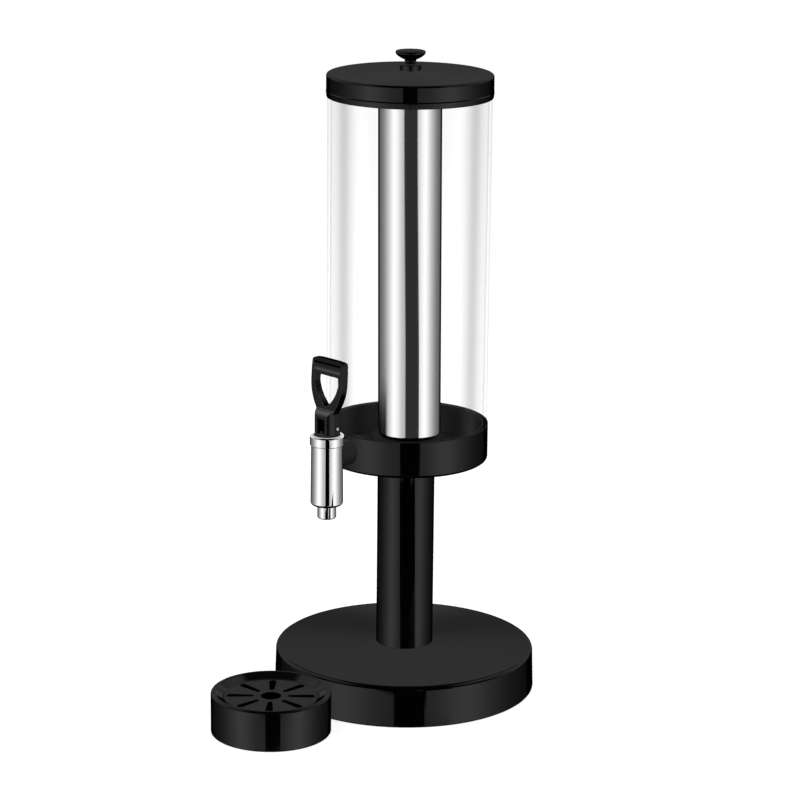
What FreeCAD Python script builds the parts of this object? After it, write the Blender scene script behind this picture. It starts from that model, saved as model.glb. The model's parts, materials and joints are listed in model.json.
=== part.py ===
import FreeCAD, Part
import math
import os
import re

import Sketcher

# Beer tower with a lever tap, and its loose drip tray.
# Millimetres. Origin at the centre of the base on the table, +Z up, tap towards -Y.

doc = FreeCAD.newDocument("beer_tower")
sheet = doc.addObject("Spreadsheet::Sheet", "Dims")

# ---------------------------------------------------------------- driving dimensions
drivingDimensions = [
    # base
    ("baseRadius", 123.0, "outside radius at the foot"),
    ("baseTopRadius", 121.8, "outside radius where the top edge starts to turn"),
    ("baseLift", 0.3, "gap between shell and table"),
    ("baseEdgeHeight", 39.3, "height of the top at its outer edge"),
    ("baseHubHeight", 42.5, "height of the top at the column"),
    ("baseWall", 2.5, "shell thickness"),
    ("baseTopRound", 4.0, "top edge rounding"),
    ("baseFootRound", 0.5, "foot edge rounding"),
    ("hubRadius", 28.0, "flat seat for the column"),
    ("weightRadius", 100.0, "ballast disc"),
    ("weightBottom", 5.0, "underside of the ballast"),
    ("weightTop", 22.0, "top of the ballast disc"),
    ("weightHubRadius", 27.0, "ballast hub that carries the shell"),
    ("nutPocketRadius", 17.0, "pocket for nut and washer"),
    ("nutPocketTop", 16.0, "ceiling of that pocket"),
    ("coverRadius", 117.0, "cover plate"),
    ("coverBottom", 3.0, "underside of the cover plate"),
    ("padRadius", 113.0, "rubber pad under the cover"),
    ("padRound", 1.0, "bevel of the pad's edge"),
    ("coverScrewCircle", 70.0, "cover screws stand on this radius"),
    ("coverScrewRadius", 2.0, "M4 screw"),
    ("coverScrewEnd", 15.0, "tip of the cover screws"),
    ("sinkDepth", 1.7, "countersink in the cover"),
    # column and tie rod
    ("columnRadius", 26.75, "column tube"),
    ("columnWall", 1.5, "column wall"),
    ("lowerPlugHeight", 10.0, "lower column plug"),
    ("upperPlugHeight", 12.0, "upper column plug"),
    ("rodRadius", 5.0, "M10 tie rod"),
    ("rodHole", 5.5, "clearance hole for it"),
    ("rodBottom", 6.0, "lower end of the rod"),
    ("rodDepth", 9.0, "rod's grip in the upper plug"),
    ("rodNutHeight", 8.0, "tie rod nut"),
    ("rodNutFlats", 17.0, "tie rod nut across flats"),
    ("collarScrewCircle", 16.0, "collar screws stand on this radius"),
    ("collarScrewRadius", 2.5, "M5 screw"),
    ("collarScrewLength", 10.0, "grip in the upper plug"),
    # collar and tank
    ("tankRadius", 75.0, "clear tube, outside"),
    ("tankWall", 3.0, "clear tube, wall"),
    ("tankBottom", 228.0, "lower edge of the tube"),
    ("tankTop", 576.0, "upper edge of the tube"),
    ("collarBottom", 224.0, "underside of the collar"),
    ("collarTop", 258.0, "rim of the collar"),
    ("collarWall", 0.8, "collar side wall"),
    ("collarFloor", 1.2, "collar floor"),
    ("collarRound", 3.0, "collar's lower edge"),
    ("seatGap", 0.1, "play between nested walls"),
    ("sealBore", 64.0, "tank gasket, inside radius"),
    ("dishWall", 1.5, "tank dish wall"),
    ("dishFloor", 1.8, "tank dish floor"),
    ("dishTop", 257.4, "rim of the tank dish"),
    ("iceSeatRadius", 33.0, "raised seat under the ice tube"),
    ("iceSeatTop", 244.9, "top of that seat"),
    ("iceSeatSlope", 3.0, "its side leans out by this much"),
    # tap
    ("tapReach", 102.1, "barrel axis from the tower axis"),
    ("inletHeight", 243.0, "axis of the shank"),
    ("barrelFootRadius", 14.9, "barrel at its foot"),
    ("barrelTopRadius", 14.5, "barrel under the ring"),
    ("barrelFoot", 198.0, "lower end of the barrel"),
    ("barrelTop", 255.0, "shoulder under the ring"),
    ("barrelRound", 3.0, "rounding at the barrel's foot"),
    ("neckRadius", 13.3, "thread for the ring"),
    ("neckTop", 260.0, "upper end of the neck"),
    ("chamberRadius", 11.0, "bore of the barrel"),
    ("seatHeight", 207.0, "valve seat"),
    ("seatRadius", 5.0, "hole through the seat"),
    ("spoutThread", 8.0, "spout thread radius"),
    ("spoutThreadTop", 203.8, "upper end of that thread"),
    ("spoutRadius", 8.7, "spout, outside"),
    ("spoutBore", 6.0, "spout, inside"),
    ("spoutFoot", 185.4, "mouth of the spout"),
    ("ringRadius", 15.7, "ring nut"),
    ("ringTop", 264.4, "top of the ring nut"),
    ("ringLip", 261.2, "underside of its lip"),
    ("ringBore", 12.2, "opening in the lip"),
    ("bonnetTop", 265.0, "face that the handle's cam rolls on"),
    ("bonnetFoot", 250.0, "lower end of the bonnet plug"),
    ("bonnetRadius", 12.0, "bonnet above the lip"),
    ("sealRadius", 4.7, "groove for the O-ring"),
    ("sealDepth", 2.2, "depth of that groove"),
    ("sealWire", 0.95, "wire radius of the O-ring"),
    ("stemRadius", 2.5, "valve stem"),
    ("runningGap", 0.05, "radial play of moving shafts"),
    ("shankRadius", 8.0, "threaded shank"),
    ("shankBore", 5.5, "its bore"),
    ("shankEnd", 55.0, "inner end, from the tower axis"),
    ("saddleRadius", 11.6, "saddle gasket outside the collar"),
    ("innerRadius", 11.5, "gasket and washer inside the tank"),
    ("washerSeat", 66.0, "flat side of the inner gasket, from the tower axis"),
    ("washerThickness", 1.5, "steel washer"),
    ("shankNutHeight", 7.0, "lock nut"),
    ("shankNutFlats", 22.0, "lock nut across flats"),
    # handle
    ("pinSetback", 2.4, "pin behind the barrel axis"),
    ("pinHeight", 271.0, "axis of the pin"),
    ("pinRadius", 1.5, "handle pin"),
    ("pinHalf", 11.7, "half the pin's length"),
    ("camClearance", 0.15, "cam above the bonnet"),
    ("camRise", 6.0, "stem lift for each radian of tilt"),
    ("camTilt", 35.0, "tilt of the open handle in degrees"),
    ("blockRadius", 11.4, "handle's round foot"),
    ("blockFront", 8.2, "flat front of the foot"),
    ("shoulderHeight", 282.0, "flat front of the foot ends here"),
    ("shoulderTop", 288.2, "top of the rolled shoulder above it"),
    ("shoulderRound", 7.0, "rounding of that shoulder"),
    ("plateThickness", 7.3, "handle's loop"),
    ("loopLean", 1.4, "the loop's top leans back by this much"),
    ("leanHeight", 310.0, "the leaning loop stands over the pin here"),
    ("waistHeight", 285.0, "narrowest part of the loop"),
    ("loopHalf", 20.4, "half the loop's width"),
    ("loopWidest", 314.0, "height of that width"),
    ("loopTop", 335.2, "top of the crossbar"),
    ("crossbarRise", 3.2, "height of the crossbar's round top"),
    ("fingerHalf", 15.2, "half the finger hole's width"),
    ("fingerBottom", 290.4, "point of the finger hole"),
    ("fingerTop", 319.7, "underside of the crossbar"),
    ("scoopRadius", 7.4, "hollow of the grip"),
    ("scoopDepth", 1.3, "its depth"),
    ("scoopHeight", 327.7, "height of its deepest line"),
    ("scoopHalf", 17.3, "half its length"),
    ("forkHalf", 3.2, "half the slot for the stem's eye"),
    ("forkFront", 5.8, "front end of that slot, before the barrel axis"),
    ("forkLip", 268.4, "the slot is open to the front below this, for the tilted stem"),
    ("eyeHalf", 3.0, "half the eye's thickness"),
    ("eyeRadius", 3.0, "rounding of the eye"),
    ("windowHalf", 4.5, "half the framed recess"),
    ("windowTop", 279.8, "top of the framed recess"),
    ("windowDepth", 1.6, "depth of the framed recess"),
    # valve
    ("cupRadius", 7.4, "rubber valve cup"),
    ("cupHeight", 5.6, "its height"),
    ("discThickness", 1.5, "stem disc above the cup"),
    ("springRadius", 6.2, "valve spring, mean radius"),
    ("springWire", 0.6, "wire radius"),
    ("springTurns", 6.0, "active turns"),
    # lid
    ("lidRadius", 76.3, "lid band"),
    ("lidBead", 76.6, "bead under the band"),
    ("lidLipRadius", 75.95, "lower lip"),
    ("lidBottom", 563.5, "lower edge of the lid"),
    ("lidBeadHeight", 569.2, "height of the bead"),
    ("lidEdge", 584.2, "top of the band"),
    ("lidCrown", 587.4, "top at the knob"),
    ("lidSkirtBore", 75.35, "inside of the skirt"),
    ("lidPlate", 1.3, "thickness of the top"),
    ("lidRound", 2.0, "top edge rounding"),
    ("bossRadius", 9.7, "boss under the knob"),
    ("bossTop", 592.1, "top of the boss"),
    ("linerRadius", 74.8, "liner disc"),
    ("linerBottom", 580.0, "underside of the liner disc"),
    ("linerPlate", 2.0, "liner disc thickness"),
    ("plugRadius", 71.3, "plug wall inside the tube"),
    ("plugDepth", 568.0, "lower edge of the plug wall"),
    ("socketRadius", 35.4, "bayonet socket, inside"),
    ("socketBottom", 566.0, "lower edge of the socket"),
    ("ledgeRadius", 32.2, "bayonet ledges, inside"),
    ("ledgeTop", 569.7, "top of the ledges"),
    ("notchTurn", 35.0, "half the arc without a ledge, degrees"),
    ("linerWall", 2.0, "plug and socket walls"),
    ("knobRadius", 13.7, "knob disc"),
    ("knobTop", 605.8, "top of the knob"),
    ("knobNeck", 5.6, "neck of the knob"),
    ("knobScrewRadius", 2.5, "M5 screw of the knob"),
    ("knobScrewHole", 2.7, "clearance hole for it"),
    ("knobScrewHead", 4.6, "its head"),
    ("knobCrown", 0.8, "rise of its crowned top"),
    # ice tube
    ("iceRadius", 29.2, "ice tube"),
    ("iceWall", 0.8, "ice tube wall"),
    ("iceBottom", 245.2, "its lower end"),
    ("iceTop", 574.0, "its mouth"),
    ("iceRound", 5.0, "rounding at the bottom"),
    ("iceRingRadius", 31.7, "bayonet ring"),
    ("iceRingBottom", 566.5, "bayonet ring, lower edge"),
    ("lugRadius", 34.9, "bayonet lugs"),
    ("lugBottom", 570.0, "underside of the lugs"),
    ("lugHeight", 3.0, "height of the lugs"),
    ("lugTurn", 14.0, "half the arc of a lug, degrees"),
    ("lugPlace", 60.0, "where the first lug stands, degrees"),
    # drip tray
    ("trayX", 7.6, "tray centre"),
    ("trayY", -178.3, "tray centre"),
    ("trayRadius", 54.9, "tray, outside"),
    ("trayHeight", 38.4, "rim of the tray"),
    ("trayWall", 2.0, "tray wall"),
    ("trayLift", 0.2, "gap under the skirt"),
    ("trayFootRound", 0.5, "rounding of the skirt's foot"),
    ("rimRadius", 51.0, "inner edge of the rim"),
    ("grateSeat", 31.7, "ledge that carries the grate"),
    ("grateSeatRadius", 43.6, "ledge, outside"),
    ("wellRadius", 41.6, "well under the grate"),
    ("wellFloor", 5.0, "floor of the well"),
    ("grateRadius", 43.2, "grate"),
    ("grateThickness", 1.8, "grate"),
    ("grateHole", 9.2, "finger hole in the grate"),
    ("slotStart", 15.5, "slots, inner end"),
    ("slotEnd", 40.2, "slots, outer end"),
    ("slotInner", 2.1, "half width at the inner end"),
    ("slotOuter", 3.4, "half width at the outer end"),
]

for row, (alias, size, meaning) in enumerate(drivingDimensions, start=1):
    sheet.set("A%d" % row, str(size))
    sheet.setAlias("A%d" % row, alias)
    sheet.set("B%d" % row, meaning)
doc.recompute()

aliases = {alias for alias, size, meaning in drivingDimensions}
parts = []


# ---------------------------------------------------------------- helpers
def bound(text):
    """An expression in which each name of the sheet is written as FreeCAD reads it."""
    return re.sub(r"[A-Za-z_]\w*",
                  lambda word: "Dims." + word.group(0) if word.group(0) in aliases else word.group(0),
                  str(text))


def size(text):
    """The present value of such an expression."""
    found = sheet.evalExpression(bound(text))
    return float(getattr(found, "Value", found))


def newBody(label, y="0", x="0"):
    """A body of its own label, placed by the sheet."""
    body = doc.addObject("PartDesign::Body", label)
    body.Label = label
    body.setExpression("Placement.Base.x", bound(x))
    body.setExpression("Placement.Base.y", bound(y))
    parts.append(body)
    return body


def newSketch(body, role, name, offset="0"):
    """A sketch on one of the body's own planes, moved along that plane's normal."""
    sketch = body.newObject("Sketcher::SketchObject", name)
    plane = next(item for item in body.Origin.OriginFeatures if item.Role == role)
    sketch.AttachmentSupport = [(plane, "")]
    sketch.MapMode = "FlatFace"
    sketch.setExpression("AttachmentOffset.Base.z", bound(offset))
    return sketch


def pin(sketch, geometry, vertex, x, y):
    """Hold one vertex at two sheet expressions."""
    for kind, text in (("DistanceX", x), ("DistanceY", y)):
        index = sketch.addConstraint(Sketcher.Constraint(kind, -1, 1, geometry, vertex, size(text)))
        sketch.setExpression("Constraints[%d]" % index, bound(text))


def arcBetween(start, end, radius):
    """Circular arc from start to end; a positive radius turns left on the way."""
    chord = end - start
    half = chord.Length / 2
    rise = math.sqrt(max(radius * radius - half * half, 0.0))
    left = FreeCAD.Vector(-chord.y, chord.x, 0).normalize()
    centre = start + chord * 0.5 + left * math.copysign(rise, radius)
    first, last = (start, end) if radius > 0 else (end, start)
    circle = Part.Circle(centre, FreeCAD.Vector(0, 0, 1), abs(radius))
    return Part.ArcOfCircle(circle, circle.parameter(first), circle.parameter(last))


def outline(sketch, points):
    """A closed loop. A point is (x, y) or (x, y, radius), the radius being that of an arc
    from this point to the next, positive where it turns left."""
    count = len(points)
    places = [FreeCAD.Vector(size(point[0]), size(point[1]), 0) for point in points]
    ends = []
    for index, point in enumerate(points):
        start, end = places[index], places[(index + 1) % count]
        if len(point) == 3:
            radius = size(point[2])
            geometry = sketch.addGeometry(arcBetween(start, end, radius), False)
            ends.append((geometry, 1, 2) if radius > 0 else (geometry, 2, 1))
            if abs(start.distanceToPoint(end) - 2 * abs(radius)) < 1e-6:  # a half turn
                sketch.addConstraint(Sketcher.Constraint("Symmetric", geometry, 1, geometry, 2, geometry, 3))
            else:
                held = sketch.addConstraint(Sketcher.Constraint("Radius", geometry, abs(radius)))
                sketch.setExpression("Constraints[%d]" % held, "abs(%s)" % bound(point[2]))
        else:
            geometry = sketch.addGeometry(Part.LineSegment(start, end), False)
            ends.append((geometry, 1, 2))
    for index, (geometry, first, last) in enumerate(ends):
        nextOne = ends[(index + 1) % count]
        sketch.addConstraint(Sketcher.Constraint("Coincident", geometry, last, nextOne[0], nextOne[1]))
    for (geometry, first, last), point in zip(ends, points):
        pin(sketch, geometry, first, point[0], point[1])
    return sketch


def ring(sketch, radius, x="0", y="0"):
    """A full circle."""
    centre = FreeCAD.Vector(size(x), size(y), 0)
    geometry = sketch.addGeometry(Part.Circle(centre, FreeCAD.Vector(0, 0, 1), size(radius)), False)
    pin(sketch, geometry, 3, x, y)
    held = sketch.addConstraint(Sketcher.Constraint("Radius", geometry, size(radius)))
    sketch.setExpression("Constraints[%d]" % held, bound(radius))
    return sketch


def domeRadius(half, rise):
    """Radius of a cap of that half width and rise, centred on the axis."""
    return "(%s ^ 2 + %s ^ 2) / (2 * %s)" % (half, rise, rise)


def turn(body, sketch):
    """Spin the sketch a full turn about its own vertical axis."""
    feature = body.newObject("PartDesign::Revolution", body.Label + "_turned")
    feature.Profile = (sketch, [""])
    feature.ReferenceAxis = (sketch, ["V_Axis"])
    feature.Angle = 360
    doc.recompute()
    return feature


def turnedBody(label, points, y="0", x="0"):
    """A turned piece, from its half section in the XZ plane."""
    body = newBody(label, y, x)
    turn(body, outline(newSketch(body, "XZ_Plane", label + "_profile"), points))
    return body


def pad(body, sketch, length, symmetric=False):
    feature = body.newObject("PartDesign::Pad", sketch.Name + "_pad")
    feature.Profile = (sketch, [""])
    feature.setExpression("Length", bound(length))
    if symmetric:
        feature.SideType = "Symmetric"
    doc.recompute()
    return feature


def cut(body, sketch, length=None, reverse=False, symmetric=False):
    """A pocket: through both ways where no length is given. It has to remove something."""
    before = body.Shape.Volume
    feature = body.newObject("PartDesign::Pocket", sketch.Name + "_cut")
    feature.Profile = (sketch, [""])
    if length is None:
        feature.Type = "ThroughAll"
        feature.SideType = "Symmetric"
    else:
        feature.setExpression("Length", bound(length))
        feature.Reversed = reverse
        if symmetric:
            feature.SideType = "Symmetric"
    doc.recompute()
    if before - body.Shape.Volume < 1e-3:
        raise RuntimeError(sketch.Name + " removes nothing")
    return feature


def around(body, feature, sketch, count):
    """Repeat a feature evenly about the sketch's normal."""
    pattern = body.newObject("PartDesign::PolarPattern", feature.Name + "_ring")
    pattern.Originals = [feature]
    pattern.Axis = (sketch, ["N_Axis"])
    pattern.Angle = 360
    pattern.Occurrences = count
    body.Tip = pattern
    doc.recompute()
    return pattern


def ringEdges(body, radius, height):
    """Names of the full circles of that radius at that height."""
    names = []
    for index, edge in enumerate(body.Tip.Shape.Edges, start=1):
        curve = edge.Curve
        if curve.TypeId != "Part::GeomCircle":
            continue
        level = curve.Center.z - size(height)
        if abs(curve.Radius - size(radius)) < 1e-3 and abs(level) < 1e-3:
            names.append("Edge%d" % index)
    if not names:
        raise RuntimeError("no such edge on " + body.Label)
    return names


def soften(body, radius, height, amount, kind="Fillet"):
    """Round or bevel the circular edge at that radius and height."""
    base, edges = body.Tip, ringEdges(body, radius, height)
    feature = body.newObject("PartDesign::" + kind, "%s_%s" % (body.Label, kind.lower()))
    feature.Base = (base, edges)
    feature.setExpression("Radius" if kind == "Fillet" else "Size", bound(amount))
    doc.recompute()
    return feature


def hexagon(sketch, flats):
    """Six sides on a circle, set by the distance across the flats."""
    corner = "%s / sqrt(3)" % flats
    points = [("%s * cos(%d)" % (corner, 60 * side), "%s * sin(%d)" % (corner, 60 * side))
              for side in range(6)]
    return outline(sketch, points)


def screwGroup(label, circle, radius, headRadii, head, tip, count):
    """Screws on a circle: one node of separate solids. headRadii and head give the head's
    radius and height at its lower and upper end; the shank runs from the head to the tip."""
    bottom, top = size(head[0]), size(head[1])
    end = size(tip)
    screws = []
    for step in range(count):
        angle = math.radians(360.0 / count * step + 90)
        centre = FreeCAD.Vector(math.cos(angle), math.sin(angle), 0) * size(circle)
        headBase = centre + FreeCAD.Vector(0, 0, bottom)
        wide, narrow = size(headRadii[0]), size(headRadii[1])
        if abs(wide - narrow) < 1e-6:
            headSolid = Part.makeCylinder(wide, top - bottom, headBase)
        else:
            headSolid = Part.makeCone(wide, narrow, top - bottom, headBase)
        low, high = (top, end) if end > top else (end, bottom)
        shank = Part.makeCylinder(size(radius), high - low, centre + FreeCAD.Vector(0, 0, low))
        screws += headSolid.fuse(shank).removeSplitter().Solids
    group = doc.addObject("Part::Feature", label)
    group.Label = label
    group.Shape = Part.makeCompound(screws)
    parts.append(group)
    return group


# ---------------------------------------------------------------- base
def makeBase():
    shell = turnedBody("base_shell", [
        ("baseRadius - baseWall", "baseLift"),
        ("baseRadius", "baseLift"),
        ("baseTopRadius", "baseEdgeHeight"),
        ("hubRadius", "baseHubHeight"),
        ("rodHole", "baseHubHeight"),
        ("rodHole", "baseHubHeight - baseWall"),
        ("hubRadius", "baseHubHeight - baseWall"),
        ("baseTopRadius - baseWall", "baseEdgeHeight - baseWall"),
    ])
    soften(shell, "baseTopRadius", "baseEdgeHeight", "baseTopRound")
    soften(shell, "baseRadius", "baseLift", "baseFootRound")

    weight = turnedBody("base_weight", [
        ("nutPocketRadius", "weightBottom"),
        ("weightRadius", "weightBottom"),
        ("weightRadius", "weightTop"),
        ("weightHubRadius + 4", "weightTop"),
        ("weightHubRadius", "baseHubHeight - baseWall"),
        ("rodHole", "baseHubHeight - baseWall"),
        ("rodHole", "nutPocketTop"),
        ("nutPocketRadius", "nutPocketTop"),
    ])
    holes = ring(newSketch(weight, "XY_Plane", "weight_screw_hole", "weightBottom"),
                 "coverScrewRadius", "0", "coverScrewCircle")
    hole = cut(weight, holes, "coverScrewEnd + 1 - weightBottom", reverse=True)
    around(weight, hole, holes, 3)

    cover = newBody("base_cover")
    disc = ring(newSketch(cover, "XY_Plane", "cover_disc", "coverBottom"), "coverRadius")
    pad(cover, disc, "weightBottom - coverBottom")
    holes = ring(newSketch(cover, "XY_Plane", "cover_screw_hole"), "coverScrewRadius + 0.2",
                 "0", "coverScrewCircle")
    around(cover, cut(cover, holes), holes, 3)
    soften(cover, "coverScrewRadius + 0.2", "coverBottom", "sinkDepth", "Chamfer")

    screwGroup("cover_screws", "coverScrewCircle", "coverScrewRadius",
               ("coverScrewRadius + sinkDepth", "coverScrewRadius"),
               ("coverBottom", "coverBottom + sinkDepth"), "coverScrewEnd", 3)

    grip = newBody("base_pad")
    disc = ring(newSketch(grip, "XY_Plane", "pad_disc"), "padRadius")
    pad(grip, disc, "coverBottom")
    soften(grip, "padRadius", "0", "padRound", "Chamfer")


# ---------------------------------------------------------------- column
def makeColumn():
    turnedBody("column_tube", [
        ("columnRadius - columnWall", "baseHubHeight"),
        ("columnRadius", "baseHubHeight"),
        ("columnRadius", "collarBottom"),
        ("columnRadius - columnWall", "collarBottom"),
    ])
    turnedBody("column_lower_plug", [
        ("rodHole", "baseHubHeight"),
        ("columnRadius - columnWall", "baseHubHeight"),
        ("columnRadius - columnWall", "baseHubHeight + lowerPlugHeight"),
        ("rodHole", "baseHubHeight + lowerPlugHeight"),
    ])
    plug = turnedBody("column_upper_plug", [
        ("rodRadius", "collarBottom - upperPlugHeight"),
        ("columnRadius - columnWall", "collarBottom - upperPlugHeight"),
        ("columnRadius - columnWall", "collarBottom"),
        ("0", "collarBottom"),
        ("0", "collarBottom - upperPlugHeight + rodDepth"),
        ("rodRadius", "collarBottom - upperPlugHeight + rodDepth"),
    ])
    holes = ring(newSketch(plug, "XY_Plane", "plug_screw_hole", "collarBottom"),
                 "collarScrewRadius", "0", "collarScrewCircle")
    around(plug, cut(plug, holes, "collarScrewLength + 1"), holes, 3)

    rod = newBody("tie_rod")
    section = ring(newSketch(rod, "XY_Plane", "rod_section", "rodBottom"), "rodRadius")
    pad(rod, section, "collarBottom - upperPlugHeight + rodDepth - rodBottom")

    nut = newBody("tie_rod_nut")
    top = "nutPocketTop - 2"
    section = hexagon(newSketch(nut, "XY_Plane", "rod_nut_section", top + " - rodNutHeight"), "rodNutFlats")
    ring(section, "rodRadius")
    pad(nut, section, "rodNutHeight")

    washer = newBody("tie_rod_washer")
    section = ring(newSketch(washer, "XY_Plane", "rod_washer_section", top), "nutPocketRadius - 1.5")
    ring(section, "rodRadius + 0.3")
    pad(washer, section, "2")


# ---------------------------------------------------------------- collar and tank
def makeTank():
    bore = "(tankRadius + seatGap)"
    collar = turnedBody("collar_cup", [
        ("0", "collarBottom"),
        (bore + " + collarWall", "collarBottom"),
        (bore + " + collarWall", "collarTop"),
        (bore, "collarTop"),
        (bore, "collarBottom + collarFloor"),
        ("0", "collarBottom + collarFloor"),
    ])
    soften(collar, bore + " + collarWall", "collarBottom", "collarRound")
    soften(collar, bore, "collarBottom + collarFloor", "collarRound - collarWall")
    holes = ring(newSketch(collar, "XY_Plane", "collar_screw_hole", "collarBottom"),
                 "collarScrewRadius + 0.2", "0", "collarScrewCircle")
    hole = cut(collar, holes, "collarFloor + 1", reverse=True)
    around(collar, hole, holes, 3)
    shankHole(collar, "collar_shank_hole")

    screwGroup("collar_screws", "collarScrewCircle", "collarScrewRadius",
               ("collarScrewRadius * 1.8", "collarScrewRadius * 1.8"),
               ("collarBottom + collarFloor", "tankBottom - 0.2"),
               "collarBottom - collarScrewLength", 3)

    turnedBody("tank_gasket", [
        ("sealBore", "collarBottom + collarFloor"),
        ("tankRadius - 2.5", "collarBottom + collarFloor"),
        ("tankRadius - 0.2", "tankBottom - 0.5"),
        ("tankRadius - 0.2", "tankBottom"),
        ("sealBore", "tankBottom"),
    ])

    dishRadius = "(tankRadius - tankWall - seatGap)"
    dish = turnedBody("tank_dish", [
        ("0", "iceSeatTop - dishFloor"),
        ("iceSeatRadius - dishFloor", "iceSeatTop - dishFloor"),
        ("iceSeatRadius + iceSeatSlope - dishFloor", "tankBottom"),
        (dishRadius, "tankBottom"),
        (dishRadius, "dishTop"),
        (dishRadius + " - dishWall", "dishTop"),
        (dishRadius + " - dishWall", "tankBottom + dishFloor"),
        ("iceSeatRadius + iceSeatSlope", "tankBottom + dishFloor"),
        ("iceSeatRadius", "iceSeatTop"),
        ("0", "iceSeatTop"),
    ])
    soften(dish, "iceSeatRadius", "iceSeatTop", "2")
    soften(dish, dishRadius + " - dishWall", "tankBottom + dishFloor", "2")
    shankHole(dish, "dish_shank_hole")

    tube = turnedBody("tank_tube", [
        ("tankRadius - tankWall", "tankBottom"),
        ("tankRadius", "tankBottom"),
        ("tankRadius", "tankTop"),
        ("tankRadius - tankWall", "tankTop"),
    ])
    shankHole(tube, "tube_shank_hole")


def shankHole(body, name):
    """The shank's hole, through the front wall only."""
    sketch = ring(newSketch(body, "XZ_Plane", name), "shankRadius + 0.2", "0", "inletHeight")
    cut(body, sketch, "tapReach", reverse=True)


# ---------------------------------------------------------------- tap
def makeTap():
    axis = "-tapReach"
    barrel = turnedBody("tap_barrel", [
        ("spoutThread", "barrelFoot"),
        ("barrelFootRadius", "barrelFoot"),
        ("barrelTopRadius", "barrelTop"),
        ("neckRadius", "barrelTop"),
        ("neckRadius", "neckTop"),
        ("chamberRadius", "neckTop"),
        ("chamberRadius", "seatHeight"),
        ("seatRadius", "seatHeight"),
        ("seatRadius", "spoutThreadTop"),
        ("spoutThread", "spoutThreadTop"),
    ], axis)
    soften(barrel, "barrelFootRadius", "barrelFoot", "barrelRound")
    inlet = ring(newSketch(barrel, "XZ_Plane", "inlet"), "shankRadius", "0", "inletHeight")
    cut(barrel, inlet, "barrelFootRadius + 2")

    spout = turnedBody("tap_spout", [
        ("spoutBore", "spoutFoot"),
        ("spoutRadius", "spoutFoot"),
        ("spoutRadius", "barrelFoot"),
        ("spoutThread", "barrelFoot"),
        ("spoutThread", "spoutThreadTop"),
        ("spoutBore", "spoutThreadTop"),
    ], axis)
    soften(spout, "spoutRadius", "spoutFoot", "1.5")

    nut = turnedBody("tap_ring", [
        ("neckRadius", "barrelTop"),
        ("ringRadius", "barrelTop"),
        ("ringRadius", "ringTop"),
        ("ringBore", "ringTop"),
        ("ringBore", "ringLip"),
        ("neckRadius", "ringLip"),
    ], axis)
    soften(nut, "ringRadius", "ringTop", "1.8")
    soften(nut, "ringRadius", "barrelTop", "0.8")

    stemBore = "(stemRadius + runningGap)"
    turnedBody("tap_bonnet", [
        ("sealRadius", "bonnetFoot"),
        ("chamberRadius - 0.1", "bonnetFoot"),
        ("chamberRadius - 0.1", "neckTop"),
        ("neckRadius", "neckTop"),
        ("neckRadius", "ringLip"),
        ("bonnetRadius", "ringLip"),
        ("bonnetRadius", "bonnetTop"),
        (stemBore, "bonnetTop"),
        (stemBore, "bonnetFoot + sealDepth"),
        ("sealRadius", "bonnetFoot + sealDepth"),
    ], axis)

    oring = newBody("stem_oring", axis)
    section = newSketch(oring, "XZ_Plane", "oring_section")
    turn(oring, ring(section, "sealWire", "(stemRadius + sealRadius) / 2", "bonnetFoot + sealDepth / 2"))

    makeShank()


def alongShank(label, radius, bore, near, far):
    """A ring on the shank's axis between two distances from the tower axis."""
    body = newBody(label)
    sketch = ring(newSketch(body, "XZ_Plane", label + "_section", near), radius, "0", "inletHeight")
    ring(sketch, bore, "0", "inletHeight")
    pad(body, sketch, "%s - (%s)" % (far, near))
    return body


def trimAround(body, name, radius, y, keepInside=False):
    """Cut the body by a vertical cylinder, from outside or from inside."""
    sketch = ring(newSketch(body, "XY_Plane", name, "inletHeight"), radius, "0", y)
    if keepInside:
        ring(sketch, "tapReach * 2")
    return cut(body, sketch)


def makeShank():
    shank = alongShank("tap_shank", "shankRadius", "shankBore", "shankEnd", "tapReach")
    trimAround(shank, "shank_chamber_trim", "chamberRadius", "-tapReach")

    saddle = alongShank("saddle_gasket", "saddleRadius", "shankRadius", "tankRadius - 4", "tapReach")
    trimAround(saddle, "saddle_collar_trim", "tankRadius + seatGap + collarWall", "0")
    trimAround(saddle, "saddle_barrel_trim", "barrelFootRadius", "-tapReach")

    inner = alongShank("inner_gasket", "innerRadius", "shankRadius", "washerSeat", "tankRadius")
    trimAround(inner, "inner_gasket_trim", "tankRadius - tankWall - seatGap - dishWall", "0", keepInside=True)

    alongShank("shank_washer", "innerRadius", "shankRadius + 0.1",
               "washerSeat - washerThickness", "washerSeat")

    nut = newBody("shank_nut")
    inner = "washerSeat - washerThickness - shankNutHeight"
    sketch = newSketch(nut, "XZ_Plane", "shank_nut_section", inner)
    corner = "shankNutFlats / sqrt(3)"
    outline(sketch, [("%s * cos(%d)" % (corner, 60 * side),
                      "inletHeight + %s * sin(%d)" % (corner, 60 * side)) for side in range(6)])
    ring(sketch, "shankRadius", "0", "inletHeight")
    pad(nut, sketch, "shankNutHeight")


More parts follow.
